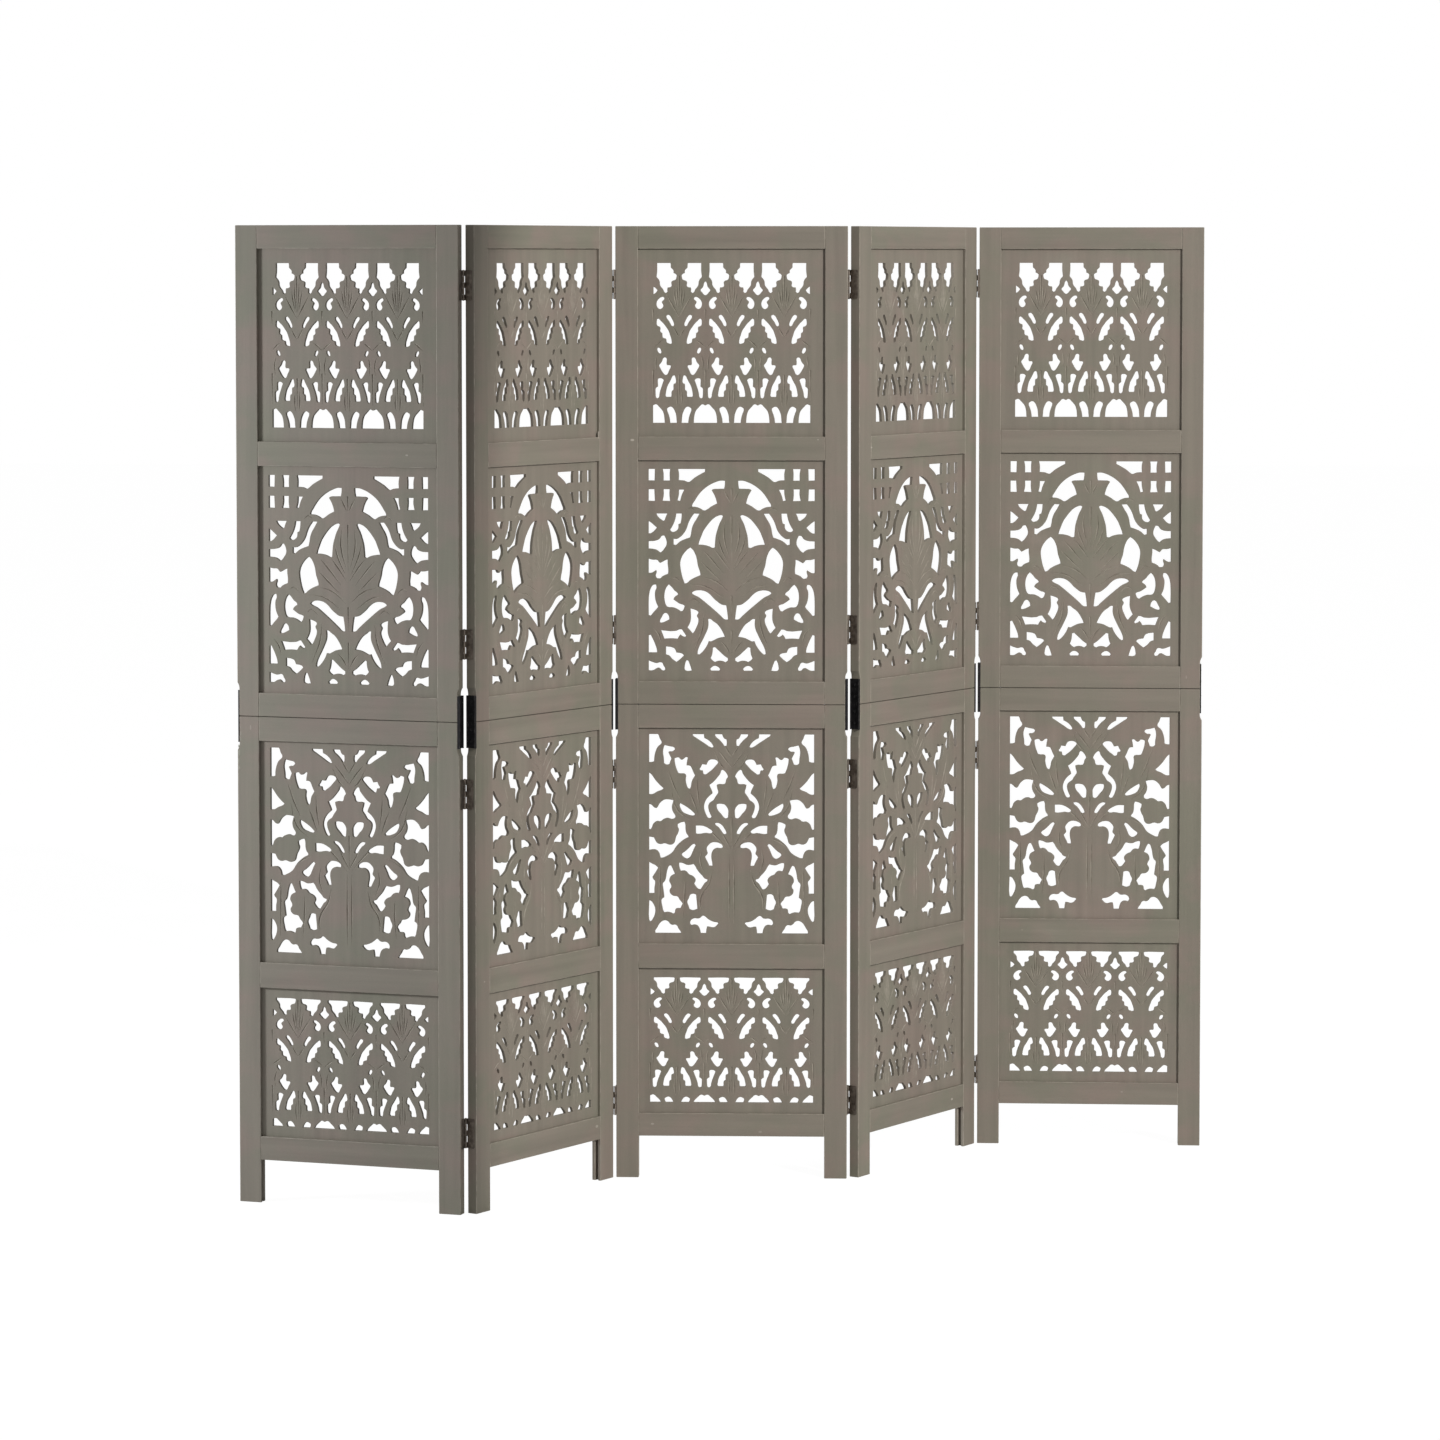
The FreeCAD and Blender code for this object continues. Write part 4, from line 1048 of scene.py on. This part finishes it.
leaf_steel = metal("darkened_hinge_steel", DARK_STEEL, AGED_STEEL, BRIGHT_STEEL, metallic=1.0,
                   smooth=0.38, rough=0.6)
pin_steel = metal("bright_pin_steel", AGED_STEEL, BRIGHT_STEEL, BRIGHT_STEEL, metallic=1.0,
                  smooth=0.28, rough=0.45)
for fold in PANELS[:-1]:
    back = 1 if fold in RIDGE_FOLDS else -1
    for hand, panel, side in (("left", fold, 1), ("right", fold + 1, -1)):
        node = "%s_leaves_%d" % (hand, fold)
        piece_on_panel(hinge_leaves(side, back, OWN_KNUCKLES[hand]), "butt_" + node,
                       leaf_steel, panel, "hinge_steel", node)
    pins = blank_shape()
    depth = back * BARREL_DEPTH
    for level in HINGE_LEVELS:
        add_barrel(pins, (-AXIS_ACROSS, depth, level), PIN_RADIUS, HINGE_LENGTH, PIN_RIM)
        for end in (-1, 1):
            head = level + end * (HINGE_LENGTH + PIN_HEAD_RISE) / 2
            add_barrel(pins, (-AXIS_ACROSS, depth, head), PIN_HEAD_RADIUS, PIN_HEAD_RISE,
                       PIN_RIM)
    node = "hinge_pins_%d" % fold
    piece_on_panel(pins, "headed_" + node, pin_steel, fold + 1, "pin_steel", node)


# Filler and chips
# Nail holes and dents are stopped with filler and touched up in a paler grey. On the first
# panel the paint has flaked along the outer edge under the seam.
# Each is given in millimetres: across from the middle, up, wide and high.
SPOT_RISE = 0.06 * MM
SPOT_BEDDING = SPOT_RISE / 3
SPOT_FOOT = 0.5
SPOT_CROWN = 0.4
SPOT_SIDES = 14
FILLER = (178, 171, 160)
SPOTS = {
    1: ((108, 1268, 5, 3), (-176, 806, 3, 9)),
    2: ((150, 97, 8, 5), (158, 1292, 3, 14), (-176, 388, 4, 3)),
    3: ((-171, 1282, 8, 4.5), (149, 1283, 3, 3), (-137, 94, 7, 4), (50, 81, 7, 4)),
    4: ((-160, 1268, 5, 3), (120, 92, 7, 4)),
    5: ((-120, 388, 5, 3), (172, 846, 3, 8), (60, 96, 5, 3)),
}
CHIP_SIDES = 7
CHIPPED_PANEL = 1
CHIPPED_PAINT = (166, 165, 152)
CHIPS = ((-194.4, 806, 1.8, 6), (-194.0, 796, 2.4, 9), (-194.5, 786, 1.6, 7),
         (-197.6, 774, 2.2, 6), (-197.0, 763, 3.4, 12), (-197.7, 750, 2.2, 10),
         (-197.3, 738, 2.8, 8))


def add_spot(shape, face, spot, sides):
    """A thin patch on the front face, which is -1, or on the back face, which is 1."""
    across, level, width, height = (value * MM for value in spot)
    made = bmesh.ops.create_cone(shape, cap_ends=True, segments=sides, radius1=SPOT_FOOT,
                                 radius2=SPOT_CROWN, depth=SPOT_RISE)["verts"]
    bmesh.ops.scale(shape, verts=made, vec=(width, height, 1))
    lie = Matrix.Rotation(math.radians(-90 * face), 4, "X")
    sunk = face * (HALF_THICKNESS - SPOT_BEDDING)
    bmesh.ops.transform(shape, verts=made,
                        matrix=Matrix.Translation((across, sunk, level)) @ lie)


filler = painted_wood("touched_up_filler", 0.0, UPRIGHT_GRAIN, FILLER)
for panel in PANELS:
    spots = blank_shape()
    for face, marked in ((-1, panel), (1, panel % len(PANELS) + 1)):
        for spot in SPOTS[marked]:
            add_spot(spots, face, spot, SPOT_SIDES)
    piece_on_panel(spots, "filler_spots_%d" % panel, filler, panel, "frame_paint")

chipped = painted_wood("chipped_paint", 0.0, UPRIGHT_GRAIN, CHIPPED_PAINT)
chips = blank_shape()
for chip in CHIPS:
    add_spot(chips, -1, chip, CHIP_SIDES)
piece_on_panel(chips, "paint_chips_%d" % CHIPPED_PANEL, chipped, CHIPPED_PANEL, "frame_paint")


# Floor and light
# A white sweep under and behind the screen, and even light from all round. The key lamp
# stands to the right, with a flag that keeps it off the first panel. A cooler lamp to the
# left lights that panel, nearly along its face.
FLOOR_HALF = 30.0
PAPER_TONE = (0.8, 0.8, 0.8, 1)
PAPER_ROUGHNESS = 0.9
PAPER_GLOW = 1.13
GLOW_SHARE = 0.85
ROOM_LEVEL = 0.28
SEEN_ROOM_LEVEL = 1.0
sweep = bmesh.new()
bmesh.ops.create_grid(sweep, x_segments=1, y_segments=1, size=FLOOR_HALF)
floor = set_out("floor", mesh_from(sweep, "floor"))
paper = bpy.data.materials.new("white_paper")
paper.use_nodes = True
tree = paper.node_tree
shader = tree.nodes["Principled BSDF"]
feed_all(tree, shader.inputs, {"Base Color": PAPER_TONE, "Roughness": PAPER_ROUGHNESS,
                               "Specular IOR Level": 0.0})
glow = added(tree, "Emission", Strength=PAPER_GLOW)["Emission"]
seen = added(tree, "LightPath")
mixed = tree.nodes.new("ShaderNodeMixShader")
share, plain_paper, glowing_paper = mixed.inputs
feed(tree, share, worked(tree, "MULTIPLY", seen["Is Camera Ray"], GLOW_SHARE))
feed(tree, plain_paper, shader.outputs["BSDF"])
feed(tree, glowing_paper, glow)
feed(tree, tree.nodes["Material Output"].inputs["Surface"], mixed.outputs["Shader"])
floor.data.materials.append(paper)

world = bpy.data.worlds.new("room")
scene.world = world
world.use_nodes = True
tree = world.node_tree
seen = added(tree, "LightPath")
shown = worked(tree, "MAXIMUM", seen["Is Camera Ray"], seen["Is Glossy Ray"])
shown = worked(tree, "MAXIMUM", shown, seen["Is Transmission Ray"])
level = spread(tree, shown, low=0.0, high=1.0, bottom=ROOM_LEVEL, top=SEEN_ROOM_LEVEL)
feed_all(tree, tree.nodes["Background"].inputs, {"Color": (1, 1, 1, 1), "Strength": level})


def hang_lamp(name, kind, energy, colour, place, beam):
    """A lamp at a place, shining along its beam."""
    lamp = bpy.data.lights.new(name, kind)
    lamp.energy = energy
    lamp.color = colour
    hung = set_out(name, lamp)
    hung.location = place
    hung.rotation_euler = (-beam).to_track_quat("Z", "Y").to_euler()
    return lamp


KEY_FROM = Vector((0.57, -0.73, 0.39)).normalized()
KEY_DISTANCE = 8.0
KEY_PLACE = Vector((0.2, 0.0, 0.8)) + KEY_FROM * KEY_DISTANCE
KEY_LEVEL = 2.2
KEY_COLOUR = (1.0, 0.98, 0.95)
KEY_RADIUS = 0.08
KEY_HALF_CONE = math.radians(37)
FLAG_BLUR = 0.01
FLAG_EDGE = Vector((-0.445, -0.35, 0.8))
to_flag = (FLAG_EDGE - KEY_PLACE).normalized()
swing_axis = to_flag.cross(Vector((KEY_FROM.y, -KEY_FROM.x, 0))).normalized()
key_beam = Matrix.Rotation(-KEY_HALF_CONE, 3, swing_axis) @ to_flag
key_lamp = hang_lamp("flagged_key_lamp", "SPOT", KEY_LEVEL * 4 * math.pi * KEY_DISTANCE ** 2,
                     KEY_COLOUR, KEY_PLACE, key_beam)
key_lamp.shadow_soft_size = KEY_RADIUS
key_lamp.spot_size = 2 * KEY_HALF_CONE
key_lamp.spot_blend = FLAG_BLUR

SIDE_PLACE = Vector((-2.9, -0.95, 1.3))
SIDE_TARGET = Vector((-0.62, -0.28, 0.8))
SIDE_WATTS = 54
SIDE_COLOUR = (0.92, 0.96, 1.0)
SIDE_WIDTH = 0.4
side_lamp = hang_lamp("cool_side_lamp", "AREA", SIDE_WATTS, SIDE_COLOUR, SIDE_PLACE,
                      SIDE_TARGET - SIDE_PLACE)
side_lamp.size = SIDE_WIDTH

scene.view_settings.view_transform = "Standard"
